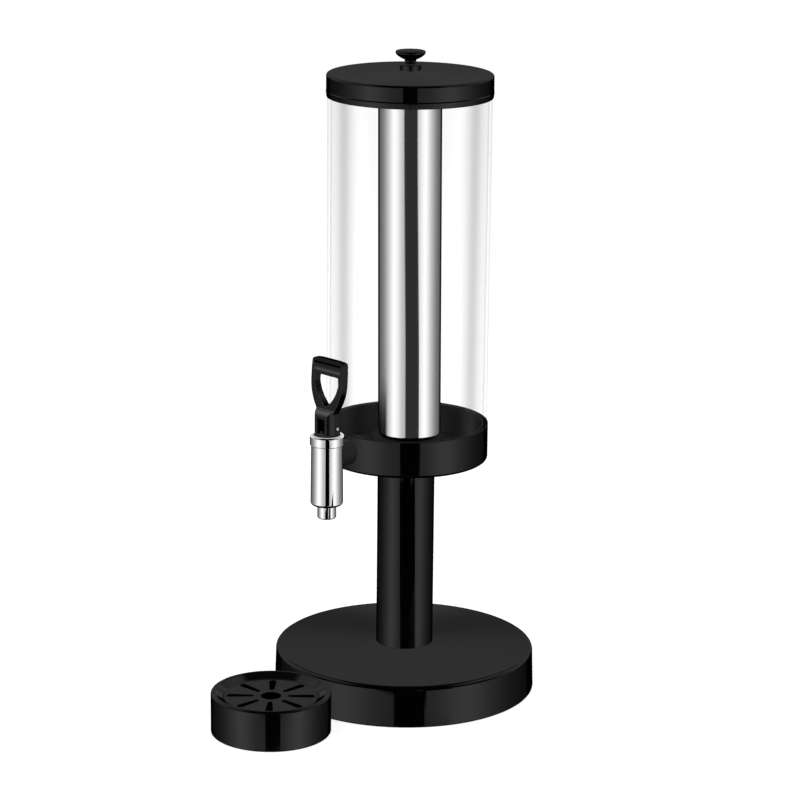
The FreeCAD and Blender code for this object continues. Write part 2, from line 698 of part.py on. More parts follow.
# ---------------------------------------------------------------- valve
def makeValve():
    axis = "-tapReach"
    discBottom = "(seatHeight + 0.2 + cupHeight)"
    stem = turnedBody("valve_stem", [
        ("0", "seatHeight + 2"),
        ("stemRadius", "seatHeight + 2"),
        ("stemRadius", discBottom),
        ("cupRadius - 0.6", discBottom),
        ("cupRadius - 0.6", discBottom + " + discThickness"),
        ("stemRadius", discBottom + " + discThickness"),
        ("stemRadius", "bonnetTop + 1"),
        ("0", "bonnetTop + 1"),
    ], axis)
    low = "bonnetTop + 0.3"
    eye = newSketch(stem, "YZ_Plane", "eye")
    outline(eye, [
        ("-stemRadius - 0.4", low),
        ("pinSetback + eyeRadius", low),
        ("pinSetback + eyeRadius", "pinHeight", "eyeRadius"),
        ("pinSetback - eyeRadius", "pinHeight"),
    ])
    ring(eye, "pinRadius + runningGap", "pinSetback", "pinHeight")
    pad(stem, eye, "eyeHalf * 2", symmetric=True)

    turnedBody("valve_cup", [
        ("stemRadius", "seatHeight + 2"),
        ("seatRadius - 0.6", "seatHeight + 0.2"),
        ("cupRadius - 1", "seatHeight + 0.2"),
        ("cupRadius", "seatHeight + 1.4"),
        ("cupRadius", discBottom),
        ("stemRadius", discBottom),
    ], axis)

    springFoot = size(discBottom + " + discThickness + springWire")
    length = size("bonnetFoot - springWire") - springFoot
    path = Part.makeHelix(length / size("springTurns"), length, size("springRadius"))
    wire = Part.Wire(path.Edges)
    first = wire.Edges[0]
    start, tangent = first.valueAt(first.FirstParameter), first.tangentAt(first.FirstParameter)
    section = Part.Wire([Part.Circle(start, tangent, size("springWire")).toShape()])
    coil = wire.makePipeShell([section], True, True)
    spring = doc.addObject("Part::Feature", "valve_spring")
    spring.Label = "valve_spring"
    spring.Shape = coil
    place = FreeCAD.Vector(0, -size("tapReach"), springFoot)
    spring.Placement = FreeCAD.Placement(place, FreeCAD.Rotation())
    parts.append(spring)


# ---------------------------------------------------------------- handle
def camCurve():
    """Underside of the handle's foot, seen from the side: an involute, so that the stem rises
    in step with the tilt. Points run from the flat forwards and up; y, z pairs."""
    flat = size("pinHeight - bonnetTop - camClearance")
    rise = size("camRise")
    last = math.radians(size("camTilt"))
    points = []
    for step in range(7):
        tilt = last * step / 6
        reach = flat + rise * tilt
        forward = reach * math.sin(tilt) + rise * math.cos(tilt)
        down = reach * math.cos(tilt) - rise * math.sin(tilt)
        points.append(FreeCAD.Vector(size("pinSetback") - forward, size("pinHeight") - down, 0))
    return points


def leaning(height, sign):
    """Distance from the barrel axis of the loop's front (-) or back (+) face at a height."""
    shift = "loopLean * (%s - leanHeight) / (loopTop - leanHeight)" % height
    return "(pinSetback + %s %s plateThickness / 2)" % (shift, sign)


def makeHandle():
    foot = "bonnetTop + camClearance"

    # round foot with a flat front
    handle = turnedBody("tap_handle", [
        ("0", foot),
        ("blockRadius", foot),
        ("blockRadius", "shoulderTop"),
        ("0", "shoulderTop"),
    ], "-tapReach")

    # loop, thick enough to lean
    plate = newSketch(handle, "XZ_Plane", "loop", "-pinSetback - plateThickness / 2 - loopLean")
    outline(plate, [
        ("-blockRadius", foot),
        ("blockRadius", foot),
        ("blockRadius", "waistHeight", "-14"),
        ("blockRadius + 2.8", "waistHeight + 6.5", "44"),
        ("loopHalf", "loopWidest", "150"),
        ("loopHalf - 0.6", "loopTop - 4", "3"),
        ("loopHalf - 3.2", "loopTop - 1.1", "110"),
        ("-loopHalf + 3.2", "loopTop - 1.1", "3"),
        ("-loopHalf + 0.6", "loopTop - 4", "150"),
        ("-loopHalf", "loopWidest", "44"),
        ("-blockRadius - 2.8", "waistHeight + 6.5", "-14"),
        ("-blockRadius", "waistHeight"),
    ])
    outline(plate, [
        ("0", "fingerBottom", "36"),
        ("fingerHalf", "loopWidest - 1"),
        ("fingerHalf - 0.8", "fingerTop"),
        ("-fingerHalf + 0.8", "fingerTop"),
        ("-fingerHalf", "loopWidest - 1", "36"),
    ])
    pad(handle, plate, "plateThickness + 2 * loopLean")

    # side view: upright foot, rolled shoulder, leaning loop, round top
    side = newSketch(handle, "YZ_Plane", "side_view")
    outline(side, [
        ("-blockFront", "bonnetTop"),
        ("pinSetback + plateThickness / 2", "bonnetTop"),
        ("pinSetback + plateThickness / 2", "shoulderHeight - 3"),
        (leaning("waistHeight", "+"), "waistHeight"),
        (leaning("(loopTop - crossbarRise)", "+"), "loopTop - crossbarRise",
         domeRadius("(plateThickness / 2)", "crossbarRise")),
        (leaning("(loopTop - crossbarRise)", "-"), "loopTop - crossbarRise"),
        (leaning("shoulderTop", "-"), "shoulderTop", "shoulderRound"),
        ("-blockFront", "shoulderHeight"),
    ])
    outline(side, [
        ("-blockRadius * 3", "bonnetTop - 5"),
        ("blockRadius * 3", "bonnetTop - 5"),
        ("blockRadius * 3", "loopTop + 5"),
        ("-blockRadius * 3", "loopTop + 5"),
    ])
    cut(handle, side)

    # scooped grip on both faces of the crossbar
    for face, sign in (("front", "-"), ("back", "+")):
        place = "%s %s (scoopRadius - scoopDepth)" % (leaning("scoopHeight", sign), sign)
        scoop = ring(newSketch(handle, "YZ_Plane", "scoop_" + face), "scoopRadius", place, "scoopHeight")
        cut(handle, scoop, "scoopHalf * 2", symmetric=True)

    # cam under the foot
    cam = newSketch(handle, "YZ_Plane", "cam")
    curve = camCurve()
    spline = Part.BSplineCurve()
    spline.interpolate(curve)
    tip, low, behind = curve[-1], size("bonnetTop") - 12, size("blockRadius") * 2
    corners = [tip, FreeCAD.Vector(tip.x - 6, tip.y + 8, 0), FreeCAD.Vector(tip.x - 12, low, 0),
               FreeCAD.Vector(behind, low, 0), FreeCAD.Vector(behind, curve[0].y, 0), curve[0]]
    cam.addGeometry(spline, False)
    for start, end in zip(corners, corners[1:]):
        cam.addGeometry(Part.LineSegment(start, end), False)
    cut(handle, cam)

    # slot for the stem's eye behind a thin front wall, framed recess in that wall, pin hole
    fork = newSketch(handle, "XY_Plane", "fork", "pinHeight + eyeRadius + 0.6")
    outline(fork, [
        ("-forkHalf", "-forkFront"),
        ("forkHalf", "-forkFront"),
        ("forkHalf", "blockRadius"),
        ("-forkHalf", "blockRadius"),
    ])
    cut(handle, fork, "20")
    window = newSketch(handle, "XZ_Plane", "window", "blockFront")
    outline(window, [
        ("-windowHalf", "bonnetTop - 5"),
        ("windowHalf", "bonnetTop - 5"),
        ("windowHalf", "windowTop"),
        ("-windowHalf", "windowTop"),
    ])
    cut(handle, window, "windowDepth")
    mouth = newSketch(handle, "XZ_Plane", "fork_mouth", "blockFront")
    outline(mouth, [
        ("-forkHalf", "bonnetTop - 5"),
        ("forkHalf", "bonnetTop - 5"),
        ("forkHalf", "forkLip"),
        ("-forkHalf", "forkLip"),
    ])
    cut(handle, mouth, "blockFront - forkFront + 0.2")
    bore = ring(newSketch(handle, "YZ_Plane", "pin_hole"), "pinRadius", "pinSetback", "pinHeight")
    cut(handle, bore)

    rod = newBody("handle_pin", "-tapReach")
    section = ring(newSketch(rod, "YZ_Plane", "pin_section"), "pinRadius", "pinSetback", "pinHeight")
    pad(rod, section, "pinHalf * 2", symmetric=True)


# ---------------------------------------------------------------- lid and ice tube
def makeLid():
    cap = turnedBody("lid_cap", [
        ("lidSkirtBore", "lidBottom"),
        ("lidLipRadius", "lidBottom"),
        ("lidLipRadius", "lidBeadHeight - 3"),
        ("lidBead", "lidBeadHeight"),
        ("lidRadius", "lidBeadHeight + 0.8"),
        ("lidRadius", "lidEdge"),
        ("bossRadius", "lidCrown"),
        ("knobScrewHole", "lidCrown"),
        ("knobScrewHole", "lidCrown - lidPlate"),
        ("bossRadius", "lidCrown - lidPlate"),
        ("lidSkirtBore", "lidEdge - lidPlate"),
    ])
    soften(cap, "lidRadius", "lidEdge", "lidRound")

    liner = turnedBody("lid_liner", [
        ("knobScrewHole", "linerBottom"),
        ("socketRadius", "linerBottom"),
        ("socketRadius", "ledgeTop"),
        ("ledgeRadius", "ledgeTop"),
        ("ledgeRadius", "socketBottom"),
        ("socketRadius + linerWall", "socketBottom"),
        ("socketRadius + linerWall", "linerBottom"),
        ("plugRadius - linerWall", "linerBottom"),
        ("plugRadius - linerWall", "plugDepth"),
        ("plugRadius", "plugDepth"),
        ("plugRadius", "linerBottom"),
        ("linerRadius", "linerBottom"),
        ("linerRadius", "linerBottom + linerPlate"),
        ("bossRadius", "linerBottom + linerPlate"),
        ("bossRadius", "lidCrown - lidPlate"),
        ("knobScrewHole", "lidCrown - lidPlate"),
    ])
    notch = newSketch(liner, "XY_Plane", "bayonet_notch", "ledgeTop")
    near, far = "(ledgeRadius - 3)", "socketRadius"
    outline(notch, [
        (near + " * cos(notchTurn)", "-%s * sin(notchTurn)" % near),
        (far + " * cos(notchTurn)", "-%s * sin(notchTurn)" % far, far),
        (far + " * cos(notchTurn)", far + " * sin(notchTurn)"),
        (near + " * cos(notchTurn)", near + " * sin(notchTurn)"),
    ])
    around(liner, cut(liner, notch, "10"), notch, 3)

    turnedBody("lid_gasket", [
        ("plugRadius", "tankTop + 0.2"),
        ("linerRadius", "tankTop + 0.2"),
        ("linerRadius", "linerBottom"),
        ("plugRadius", "linerBottom"),
    ])

    turnedBody("knob_boss", [
        ("knobScrewHole", "lidCrown"),
        ("bossRadius", "lidCrown"),
        ("bossRadius", "bossTop"),
        ("knobScrewHole", "bossTop"),
    ])
    turnedBody("lid_knob", [
        ("knobScrewRadius", "bossTop"),
        ("knobNeck - 1.2", "bossTop", "2.4"),
        ("knobNeck", "bossTop + 1.6"),
        ("knobNeck - 0.5", "knobTop - 8", "14"),
        ("knobRadius - 0.9", "knobTop - 3.5", "1.5"),
        ("knobRadius - 0.7", "knobTop - knobCrown", domeRadius("(knobRadius - 0.7)", "knobCrown")),
        ("0", "knobTop"),
        ("0", "knobTop - 6"),
        ("knobScrewRadius", "knobTop - 6"),
    ])
    turnedBody("knob_screw", [
        ("0", "linerBottom - 2.6"),
        ("knobScrewHead", "linerBottom - 2.6"),
        ("knobScrewHead", "linerBottom"),
        ("knobScrewRadius", "linerBottom"),
        ("knobScrewRadius", "knobTop - 6.5"),
        ("0", "knobTop - 6.5"),
    ])


def makeIceTube():
    tube = turnedBody("ice_tube", [
        ("0", "iceBottom"),
        ("iceRadius", "iceBottom"),
        ("iceRadius", "iceTop"),
        ("iceRadius - iceWall", "iceTop"),
        ("iceRadius - iceWall", "iceBottom + iceWall"),
        ("0", "iceBottom + iceWall"),
    ])
    soften(tube, "iceRadius", "iceBottom", "iceRound")
    soften(tube, "iceRadius - iceWall", "iceBottom + iceWall", "iceRound - iceWall")

    collar = turnedBody("ice_tube_ring", [
        ("iceRadius", "iceRingBottom"),
        ("iceRingRadius", "iceRingBottom"),
        ("iceRingRadius", "iceTop"),
        ("iceRadius", "iceTop"),
    ])
    lug = newSketch(collar, "XY_Plane", "bayonet_lug", "lugBottom")
    inner = "(iceRadius + 1)"
    start, end = "(lugPlace - lugTurn)", "(lugPlace + lugTurn)"
    outline(lug, [
        ("%s * cos(%s)" % (inner, start), "%s * sin(%s)" % (inner, start)),
        ("lugRadius * cos(%s)" % start, "lugRadius * sin(%s)" % start, "lugRadius"),
        ("lugRadius * cos(%s)" % end, "lugRadius * sin(%s)" % end),
        ("%s * cos(%s)" % (inner, end), "%s * sin(%s)" % (inner, end), "-" + inner),
    ])
    around(collar, pad(collar, lug, "lugHeight"), lug, 3)


# ---------------------------------------------------------------- drip tray
def makeTray():
    dish = turnedBody("tray_dish", [
        ("trayRadius - trayWall", "trayLift"),
        ("trayRadius", "trayLift"),
        ("trayRadius", "trayHeight"),
        ("rimRadius", "trayHeight"),
        ("grateSeatRadius", "grateSeat + grateThickness"),
        ("grateSeatRadius", "grateSeat"),
        ("wellRadius", "grateSeat"),
        ("wellRadius", "wellFloor"),
        ("0", "wellFloor"),
        ("0", "wellFloor - trayWall"),
        ("wellRadius + trayWall", "wellFloor - trayWall"),
        ("wellRadius + trayWall", "grateSeat - trayWall"),
        ("grateSeatRadius + trayWall", "grateSeat - trayWall"),
        ("trayRadius - trayWall", "trayHeight - 6"),
    ], "trayY", "trayX")
    soften(dish, "trayRadius", "trayHeight", "2.4")
    soften(dish, "rimRadius", "trayHeight", "0.8")
    soften(dish, "trayRadius", "trayLift", "trayFootRound")

    turnedBody("tray_foot_ring", [
        ("wellRadius - 8", "0"),
        ("wellRadius - 2", "0"),
        ("wellRadius - 2", "wellFloor - trayWall"),
        ("wellRadius - 8", "wellFloor - trayWall"),
    ], "trayY", "trayX")

    grate = turnedBody("tray_grate", [
        ("grateHole", "grateSeat + 0.1"),
        ("grateRadius", "grateSeat + 0.1"),
        ("grateRadius", "grateSeat + grateThickness + 0.6"),
        ("grateRadius - 1.2", "grateSeat + grateThickness + 0.6"),
        ("grateRadius - 1.2", "grateSeat + grateThickness"),
        ("grateHole", "grateSeat + grateThickness"),
    ], "trayY", "trayX")
    slot = newSketch(grate, "XY_Plane", "grate_slot")
    outline(slot, [
        ("-slotInner", "slotStart + slotInner", "slotInner"),
        ("slotInner", "slotStart + slotInner"),
        ("slotOuter", "slotEnd - slotOuter", "slotOuter"),
        ("-slotOuter", "slotEnd - slotOuter"),
    ])
    around(grate, cut(grate, slot), slot, 8)


makeBase()
makeColumn()
makeTank()
makeTap()
makeValve()
makeHandle()
makeLid()
makeIceTube()
makeTray()
doc.recompute()

# ---------------------------------------------------------------- checks and export
for item in doc.Objects:
    if "Invalid" in item.State or "Error" in item.State:
        raise RuntimeError("%s failed: %s" % (item.Label, item.State))

os.makedirs("parts", exist_ok=True)
for part in parts:
    if part.Shape.isNull() or not part.Shape.isValid():
        raise RuntimeError(part.Label + " has no valid shape")
    part.Shape.exportStep("parts/%s.step" % part.Label)
    print("%-20s %2d solid(s) %12.1f mm3" % (part.Label, len(part.Shape.Solids), part.Shape.Volume))
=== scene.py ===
import bmesh
import bpy
import json
import math
from mathutils import Matrix, Vector


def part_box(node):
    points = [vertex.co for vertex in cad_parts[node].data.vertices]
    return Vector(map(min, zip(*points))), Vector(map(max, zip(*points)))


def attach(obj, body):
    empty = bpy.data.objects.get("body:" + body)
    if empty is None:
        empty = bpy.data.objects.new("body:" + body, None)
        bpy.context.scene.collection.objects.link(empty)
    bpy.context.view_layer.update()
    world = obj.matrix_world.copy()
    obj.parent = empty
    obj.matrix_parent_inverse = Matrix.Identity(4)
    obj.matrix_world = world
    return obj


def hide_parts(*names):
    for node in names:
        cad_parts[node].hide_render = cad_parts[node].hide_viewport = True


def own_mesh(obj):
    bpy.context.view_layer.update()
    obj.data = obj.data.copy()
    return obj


# Beer tower with a lever tap, an ice tube and a loose drip tray. Metres, +Z up, tap towards -Y.

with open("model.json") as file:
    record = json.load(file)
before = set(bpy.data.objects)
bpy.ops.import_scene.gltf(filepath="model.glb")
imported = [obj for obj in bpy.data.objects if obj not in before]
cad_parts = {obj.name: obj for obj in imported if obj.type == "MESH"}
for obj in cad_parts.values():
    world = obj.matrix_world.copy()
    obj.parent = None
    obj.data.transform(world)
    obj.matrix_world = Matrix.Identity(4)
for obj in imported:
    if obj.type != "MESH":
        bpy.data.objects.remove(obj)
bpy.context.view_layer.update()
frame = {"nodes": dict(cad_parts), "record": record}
print("frame loaded:", len(frame["nodes"]), "nodes")


# Node helpers

def feed(tree, socket, value):
    # links an output to the socket, or sets the socket to a plain value
    if isinstance(value, bpy.types.NodeSocket):
        tree.links.new(value, socket)
    else:
        socket.default_value = value


def math2(tree, operation, first, second=None):
    node = tree.nodes.new("ShaderNodeMath")
    node.operation = operation
    feed(tree, node.inputs[0], first)
    if second is not None:
        feed(tree, node.inputs[1], second)
    return node.outputs["Value"]


def product(tree, *factors):
    result = factors[0]
    for factor in factors[1:]:
        result = math2(tree, "MULTIPLY", result, factor)
    return result


def ramp(tree, source, inputs, outputs=(0, 1)):
    # a straight ramp between two input values, held level beyond them
    node = tree.nodes.new("ShaderNodeMapRange")
    for name, value in zip(("From Min", "From Max", "To Min", "To Max"), (*inputs, *outputs)):
        node.inputs[name].default_value = value
    tree.links.new(source, node.inputs["Value"])
    return node.outputs["Result"]


def curved(tree, source, points, handle="AUTO_CLAMPED"):
    # a curve through (input, output) points, held level beyond them
    node = tree.nodes.new("ShaderNodeFloatCurve")
    curve = node.mapping.curves[0]
    while len(curve.points) > 2:
        curve.points.remove(curve.points[-1])
    curve.points[0].location = points[0]
    curve.points[1].location = points[-1]
    for point in points[1:-1]:
        curve.points.new(*point)
    for point in curve.points:
        point.handle_type = handle
    node.mapping.extend = "HORIZONTAL"
    node.mapping.update()
    tree.links.new(source, node.inputs["Value"])
    return node.outputs["Value"]


def colourMix(tree, factor, first, second):
    blend = tree.nodes.new("ShaderNodeMix")
    blend.data_type = "RGBA"
    blend.inputs["A"].default_value = (*first, 1)
    blend.inputs["B"].default_value = (*second, 1)
    tree.links.new(factor, blend.inputs["Factor"])
    return blend.outputs["Result"]


def shaderMix(tree, factor, first, second):
    node = tree.nodes.new("ShaderNodeMixShader")
    feed(tree, node.inputs["Fac"], factor)
    tree.links.new(first, node.inputs[1])
    tree.links.new(second, node.inputs[2])
    return node


def newMaterial(name):
    material = bpy.data.materials.new(name)
    material.use_nodes = True
    return material, material.node_tree


# Materials

evenStretch = (1, 1, 1)
paintIndex = 1.5


def noiseOn(tree, scale, detail=3, stretch=evenStretch):
    # noise in object coordinates; a small stretch value draws the grain out along that axis
    place = tree.nodes.new("ShaderNodeTexCoord")
    turn = tree.nodes.new("ShaderNodeMapping")
    turn.inputs["Scale"].default_value = stretch
    noise = tree.nodes.new("ShaderNodeTexNoise")
    noise.inputs["Scale"].default_value = scale
    noise.inputs["Detail"].default_value = detail
    tree.links.new(place.outputs["Object"], turn.inputs["Vector"])
    tree.links.new(turn.outputs["Vector"], noise.inputs["Vector"])
    return noise.outputs["Fac"]


def finishOf(name, look):
    # a Principled material from one dictionary of values
    material, tree = newMaterial(name)
    shader = tree.nodes["Principled BSDF"]
    shader.inputs["Base Color"].default_value = (*look["colour"], 1)
    shader.inputs["Metallic"].default_value = look.get("metallic", 0)
    shader.inputs["IOR"].default_value = paintIndex
    smudge = noiseOn(tree, look["smudgeScale"], detail=4, stretch=look.get("smudgeStretch", evenStretch))
    tree.links.new(ramp(tree, smudge, (0, 1), look["roughness"]), shader.inputs["Roughness"])
    if "tint" in look:  # uneven colour, between the two
        patches = noiseOn(tree, look["tintScale"], detail=5)
        tree.links.new(colourMix(tree, patches, look["colour"], look["tint"]), shader.inputs["Base Color"])
    bump = tree.nodes.new("ShaderNodeBump")
    bump.inputs["Strength"].default_value = look["grainStrength"]
    bump.inputs["Distance"].default_value = look["grainDepth"]
    grain = noiseOn(tree, look["grainScale"], detail=2, stretch=look.get("grainStretch", evenStretch))
    tree.links.new(grain, bump.inputs["Height"])
    tree.links.new(bump.outputs["Normal"], shader.inputs["Normal"])
    if "mirror" in look:  # a lacquer whose mirrored share stays the same at every angle
        shader.inputs["Specular IOR Level"].default_value = 0
        gloss = tree.nodes.new("ShaderNodeBsdfGlossy")
        for shared in ("Roughness", "Normal"):
            tree.links.new(shader.inputs[shared].links[0].from_socket, gloss.inputs[shared])
        layers = shaderMix(tree, look["mirror"], shader.outputs["BSDF"], gloss.outputs["BSDF"])
        layers.name = "layers"
        tree.links.new(layers.outputs["Shader"], tree.nodes["Material Output"].inputs["Surface"])
    return material


glossBlackLook = {
    "colour": (0.0008, 0.0008, 0.0009), "mirror": 0.04, "roughness": (0.04, 0.09), "smudgeScale": 35,
    "grainScale": 700, "grainStrength": 0.12, "grainDepth": 0.00001,
}
mouldedBlackLook = {
    "colour": (0.0012, 0.0012, 0.0013), "mirror": 0.042, "roughness": (0.1, 0.17), "smudgeScale": 60,
    "grainScale": 2500, "grainStrength": 0.15, "grainDepth": 0.00002,
}
chromeLook = {
    "colour": (0.93, 0.93, 0.94), "metallic": 1, "roughness": (0.02, 0.06), "smudgeScale": 90,
    "grainScale": 900, "grainStrength": 0.1, "grainDepth": 0.000004,
}
polishedSteelLook = {
    "colour": (0.9, 0.9, 0.905), "metallic": 1, "roughness": (0.05, 0.1), "smudgeScale": 300,
    "smudgeStretch": (1, 1, 0.02), "grainScale": 1500, "grainStrength": 0.08,
    "grainDepth": 0.000004, "grainStretch": (1, 1, 0.02),
}
plainSteelLook = {
    "colour": (0.6, 0.6, 0.61), "metallic": 1, "roughness": (0.2, 0.34), "smudgeScale": 400,
    "smudgeStretch": (1, 1, 0.2), "grainScale": 2600, "grainStrength": 0.2, "grainDepth": 0.00002,
}
ballastLook = {
    "colour": (0.07, 0.07, 0.072), "tint": (0.14, 0.135, 0.13), "tintScale": 120,
    "metallic": 0.6, "roughness": (0.55, 0.8), "smudgeScale": 200,
    "grainScale": 900, "grainStrength": 0.5, "grainDepth": 0.0003,
}
coverLook = {
    "colour": (0.02, 0.02, 0.021), "roughness": (0.35, 0.5), "smudgeScale": 90,
    "grainScale": 1800, "grainStrength": 0.25, "grainDepth": 0.00004,
}
glossPlasticLook = {
    "colour": (0.001, 0.001, 0.0011), "mirror": 0.042, "roughness": (0.03, 0.07), "smudgeScale": 50,
    "grainScale": 1200, "grainStrength": 0.12, "grainDepth": 0.00001,
}
dishLook = {
    "colour": (0.011, 0.011, 0.0113), "mirror": 0.008, "roughness": (0.2, 0.3), "smudgeScale": 60,
    "grainScale": 2500, "grainStrength": 0.15, "grainDepth": 0.00002,
}
# painted shade: the dull black given to hollows, recesses and parts that lie in shade
paintedShadeLook = {
    "colour": (0.0003, 0.0003, 0.0003), "tint": (0.0008, 0.0008, 0.0008), "tintScale": 300,
    "mirror": 0.0005, "roughness": (0.5, 0.7), "smudgeScale": 80,
    "grainScale": 1800, "grainStrength": 0.3, "grainDepth": 0.00004,
}
rubberLook = {
    "colour": (0.012, 0.012, 0.012), "roughness": (0.65, 0.85), "smudgeScale": 150,
    "grainScale": 2200, "grainStrength": 0.4, "grainDepth": 0.00006,
}


def shadeByNormal(material, values):
    # painted light on the handle: slopes below the top that face up and forward get a paler colour, a painted
    # highlight, and level tops get no mirrored share, a painted shade that keeps them black
    tree = material.node_tree
    surface = tree.nodes.new("ShaderNodeTexCoord")
    normal = tree.nodes.new("ShaderNodeSeparateXYZ")
    tree.links.new(surface.outputs["Normal"], normal.inputs["Vector"])
    place = tree.nodes.new("ShaderNodeSeparateXYZ")
    tree.links.new(surface.outputs["Object"], place.inputs["Vector"])
    paintedHighlightShare = product(tree, ramp(tree, normal.outputs["Z"], values["up"]),
                    ramp(tree, normal.outputs["Y"], values["forward"]),
                    ramp(tree, place.outputs["Z"], values["below"]))
    colour = tree.nodes["Principled BSDF"].inputs["Base Color"]
    tree.links.new(colourMix(tree, paintedHighlightShare, colour.default_value[:3], values["pale"]), colour)
    level = ramp(tree, normal.outputs["Z"], values["level"], (values["mirror"], 0))
    tree.links.new(level, tree.nodes["layers"].inputs["Fac"])


glossBlack = finishOf("glossBlack", glossBlackLook)
mouldedBlack = finishOf("mouldedBlack", mouldedBlackLook)
chrome = finishOf("chrome", chromeLook)
polishedSteel = finishOf("polishedSteel", polishedSteelLook)
plainSteel = finishOf("plainSteel", plainSteelLook)
ballast = finishOf("ballast", ballastLook)
coverPaint = finishOf("coverPaint", coverLook)
rubber = finishOf("rubber", rubberLook)
glossPlastic = finishOf("glossPlastic", glossPlasticLook)
dishPlastic = finishOf("dishPlastic", dishLook)
paintedShadeBlack = finishOf("paintedShadeBlack", paintedShadeLook)
# a copy of the moulded black that carries painted highlights and painted shade
handleBlackPaintedLight = finishOf("handleBlackPaintedLight", mouldedBlackLook)
# pale is the colour of the painted highlight; level is where the mirrored share is taken off the tops, a
# painted shade
handleShade = {
    "up": (0.15, 0.6), "forward": (-0.25, -0.55), "below": (0.3295, 0.3275),
    "pale": (0.075, 0.075, 0.076), "level": (0.55, 0.78), "mirror": 0.042,
}
shadeByNormal(handleBlackPaintedLight, handleShade)

# the grey and the edge curve paint the shade bands at the edges of the thick clear wall
acrylicLook = {
    "edgeCurve": [(0.0, 0.0), (0.07, 0.002), (0.105, 0.021), (0.12, 0.022), (0.193, 0.009), (0.23, 0.011),
                  (0.267, 0.025), (0.333, 0.072), (0.43, 0.134), (0.56, 0.068), (0.65, 0.052), (0.73, 0.041),
                  (0.86, 0.11), (1.0, 0.28)],
    "facingBlend": 0.5, "paintedEdgeShade": (0.1, 0.102, 0.104), "index": 1.49,
    "roughness": (0.01, 0.04), "smudgeScale": 25,
}


def makeAcrylic(look):
    # clear wall: see-through straight on, and a share of the shader that grows towards its edges; its
    # mirroring is real, while its grey and the bands of the curve are painted shade for what the thick wall
    # does to light there
    material, tree = newMaterial("clearAcrylic")
    shader = tree.nodes["Principled BSDF"]
    shader.inputs["Base Color"].default_value = (*look["paintedEdgeShade"], 1)
    shader.inputs["IOR"].default_value = look["index"]
    smudge = noiseOn(tree, look["smudgeScale"])
    tree.links.new(ramp(tree, smudge, (0, 1), look["roughness"]), shader.inputs["Roughness"])
    facing = tree.nodes.new("ShaderNodeLayerWeight")
    facing.inputs["Blend"].default_value = look["facingBlend"]
    tree.links.new(curved(tree, facing.outputs["Facing"], look["edgeCurve"]), shader.inputs["Alpha"])
    return material


clearAcrylic = makeAcrylic(acrylicLook)
print("materials made")

slotMaterials = {
    "gloss_black": glossBlack, "black_plastic": mouldedBlack, "ballast_iron": ballast,
    "cover_steel": coverPaint, "steel": plainSteel, "polished_steel": polishedSteel,
    "chrome": chrome, "clear_acrylic": clearAcrylic, "rubber_black": rubber,
}
nodeSlots = {row["node"]: row["material_slot"] for row in frame["record"]["subparts"]}
for nodeName, nodeObject in frame["nodes"].items():
    nodeObject.data.materials.clear()
    nodeObject.data.materials.append(slotMaterials[nodeSlots[nodeName]])
    nodeObject.visible_glossy = False
# the stem's eye sits in the shade of the handle and is painted dull black as painted shade
frame["nodes"]["valve_stem"].data.materials[0] = paintedShadeBlack
print("frame nodes finished")


# Shape helpers

weldDistance = 0.000001
seamDistance = 0.000002
cornerSteps = 4
sharpAngle = 32
quarterTurn = math.pi / 2


def addObject(name, data):
    added = bpy.data.objects.new(name, data)
    bpy.context.scene.collection.objects.link(added)
    return added


def meshObject(name, bm):
    mesh = bpy.data.meshes.new(name)
    bm.to_mesh(mesh)
    bm.free()
    return addObject(name, mesh)


def evaluated(shape):
    # a new mesh of what the modifiers or the curve's settings make
    graph = bpy.context.evaluated_depsgraph_get()
    return bpy.data.meshes.new_from_object(shape.evaluated_get(graph))


def weld(bm):
    bmesh.ops.remove_doubles(bm, verts=bm.verts[:], dist=weldDistance)
    bmesh.ops.recalc_face_normals(bm, faces=bm.faces[:])


def curveShell(curve):
    # the welded skin of a curve, which is used up
    mesh = evaluated(addObject(curve.name, curve))
    bpy.data.curves.remove(curve)
    bm = bmesh.new()
    bm.from_mesh(mesh)
    bpy.data.meshes.remove(mesh)
    weld(bm)
    return bm


def frameShell(nodeName):
    # the frame's own mesh of a node, with its seams closed
    bm = bmesh.new()
    bm.from_mesh(frame["nodes"][nodeName].data)
    bmesh.ops.remove_doubles(bm, verts=bm.verts[:], dist=seamDistance)
    return bm


def turned(profile, steps=192, place=(0, 0)):
    # spins a half section of (radius, height, rounding) points about the vertical axis
    bm = bmesh.new()
    points = [bm.verts.new((point[0], 0, point[1])) for point in profile]
    pairs = list(zip(points, points[1:]))
    if profile[0][0] > 0 or profile[-1][0] > 0:
        pairs.append((points[-1], points[0]))
    for pair in pairs:
        bm.edges.new(pair)
    for vertex, point in zip(points, profile):
        if len(point) > 2:
            bmesh.ops.bevel(bm, geom=[vertex], offset=point[2], offset_type="OFFSET", segments=cornerSteps,
                            profile=0.5, affect="VERTICES", material=-1)
    bmesh.ops.spin(bm, geom=bm.verts[:] + bm.edges[:], cent=(0, 0, 0), axis=(0, 0, 1),
                   dvec=(0, 0, 0), angle=2 * math.pi, steps=steps, use_merge=True, use_duplicate=False)
    weld(bm)
    bmesh.ops.translate(bm, verts=bm.verts[:], vec=(*place, 0))
    return bm


def smooth(piece, angle=sharpAngle):
    for face in piece.data.polygons:
        face.use_smooth = True
    piece.data.set_sharp_from_angle(angle=math.radians(angle))
    weighted = piece.modifiers.new("weightedNormals", "WEIGHTED_NORMAL")
    weighted.keep_sharp = True


def fit(piece, body, slotName, material, *nodes):
    # hands a finished piece to the frame; mirrored rays pass it by, as in a light tent
    piece.data.materials.clear()
    piece.data.materials.append(material)
    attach(piece, body)
    piece.visible_glossy = False
    if nodes:
        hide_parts(*nodes)


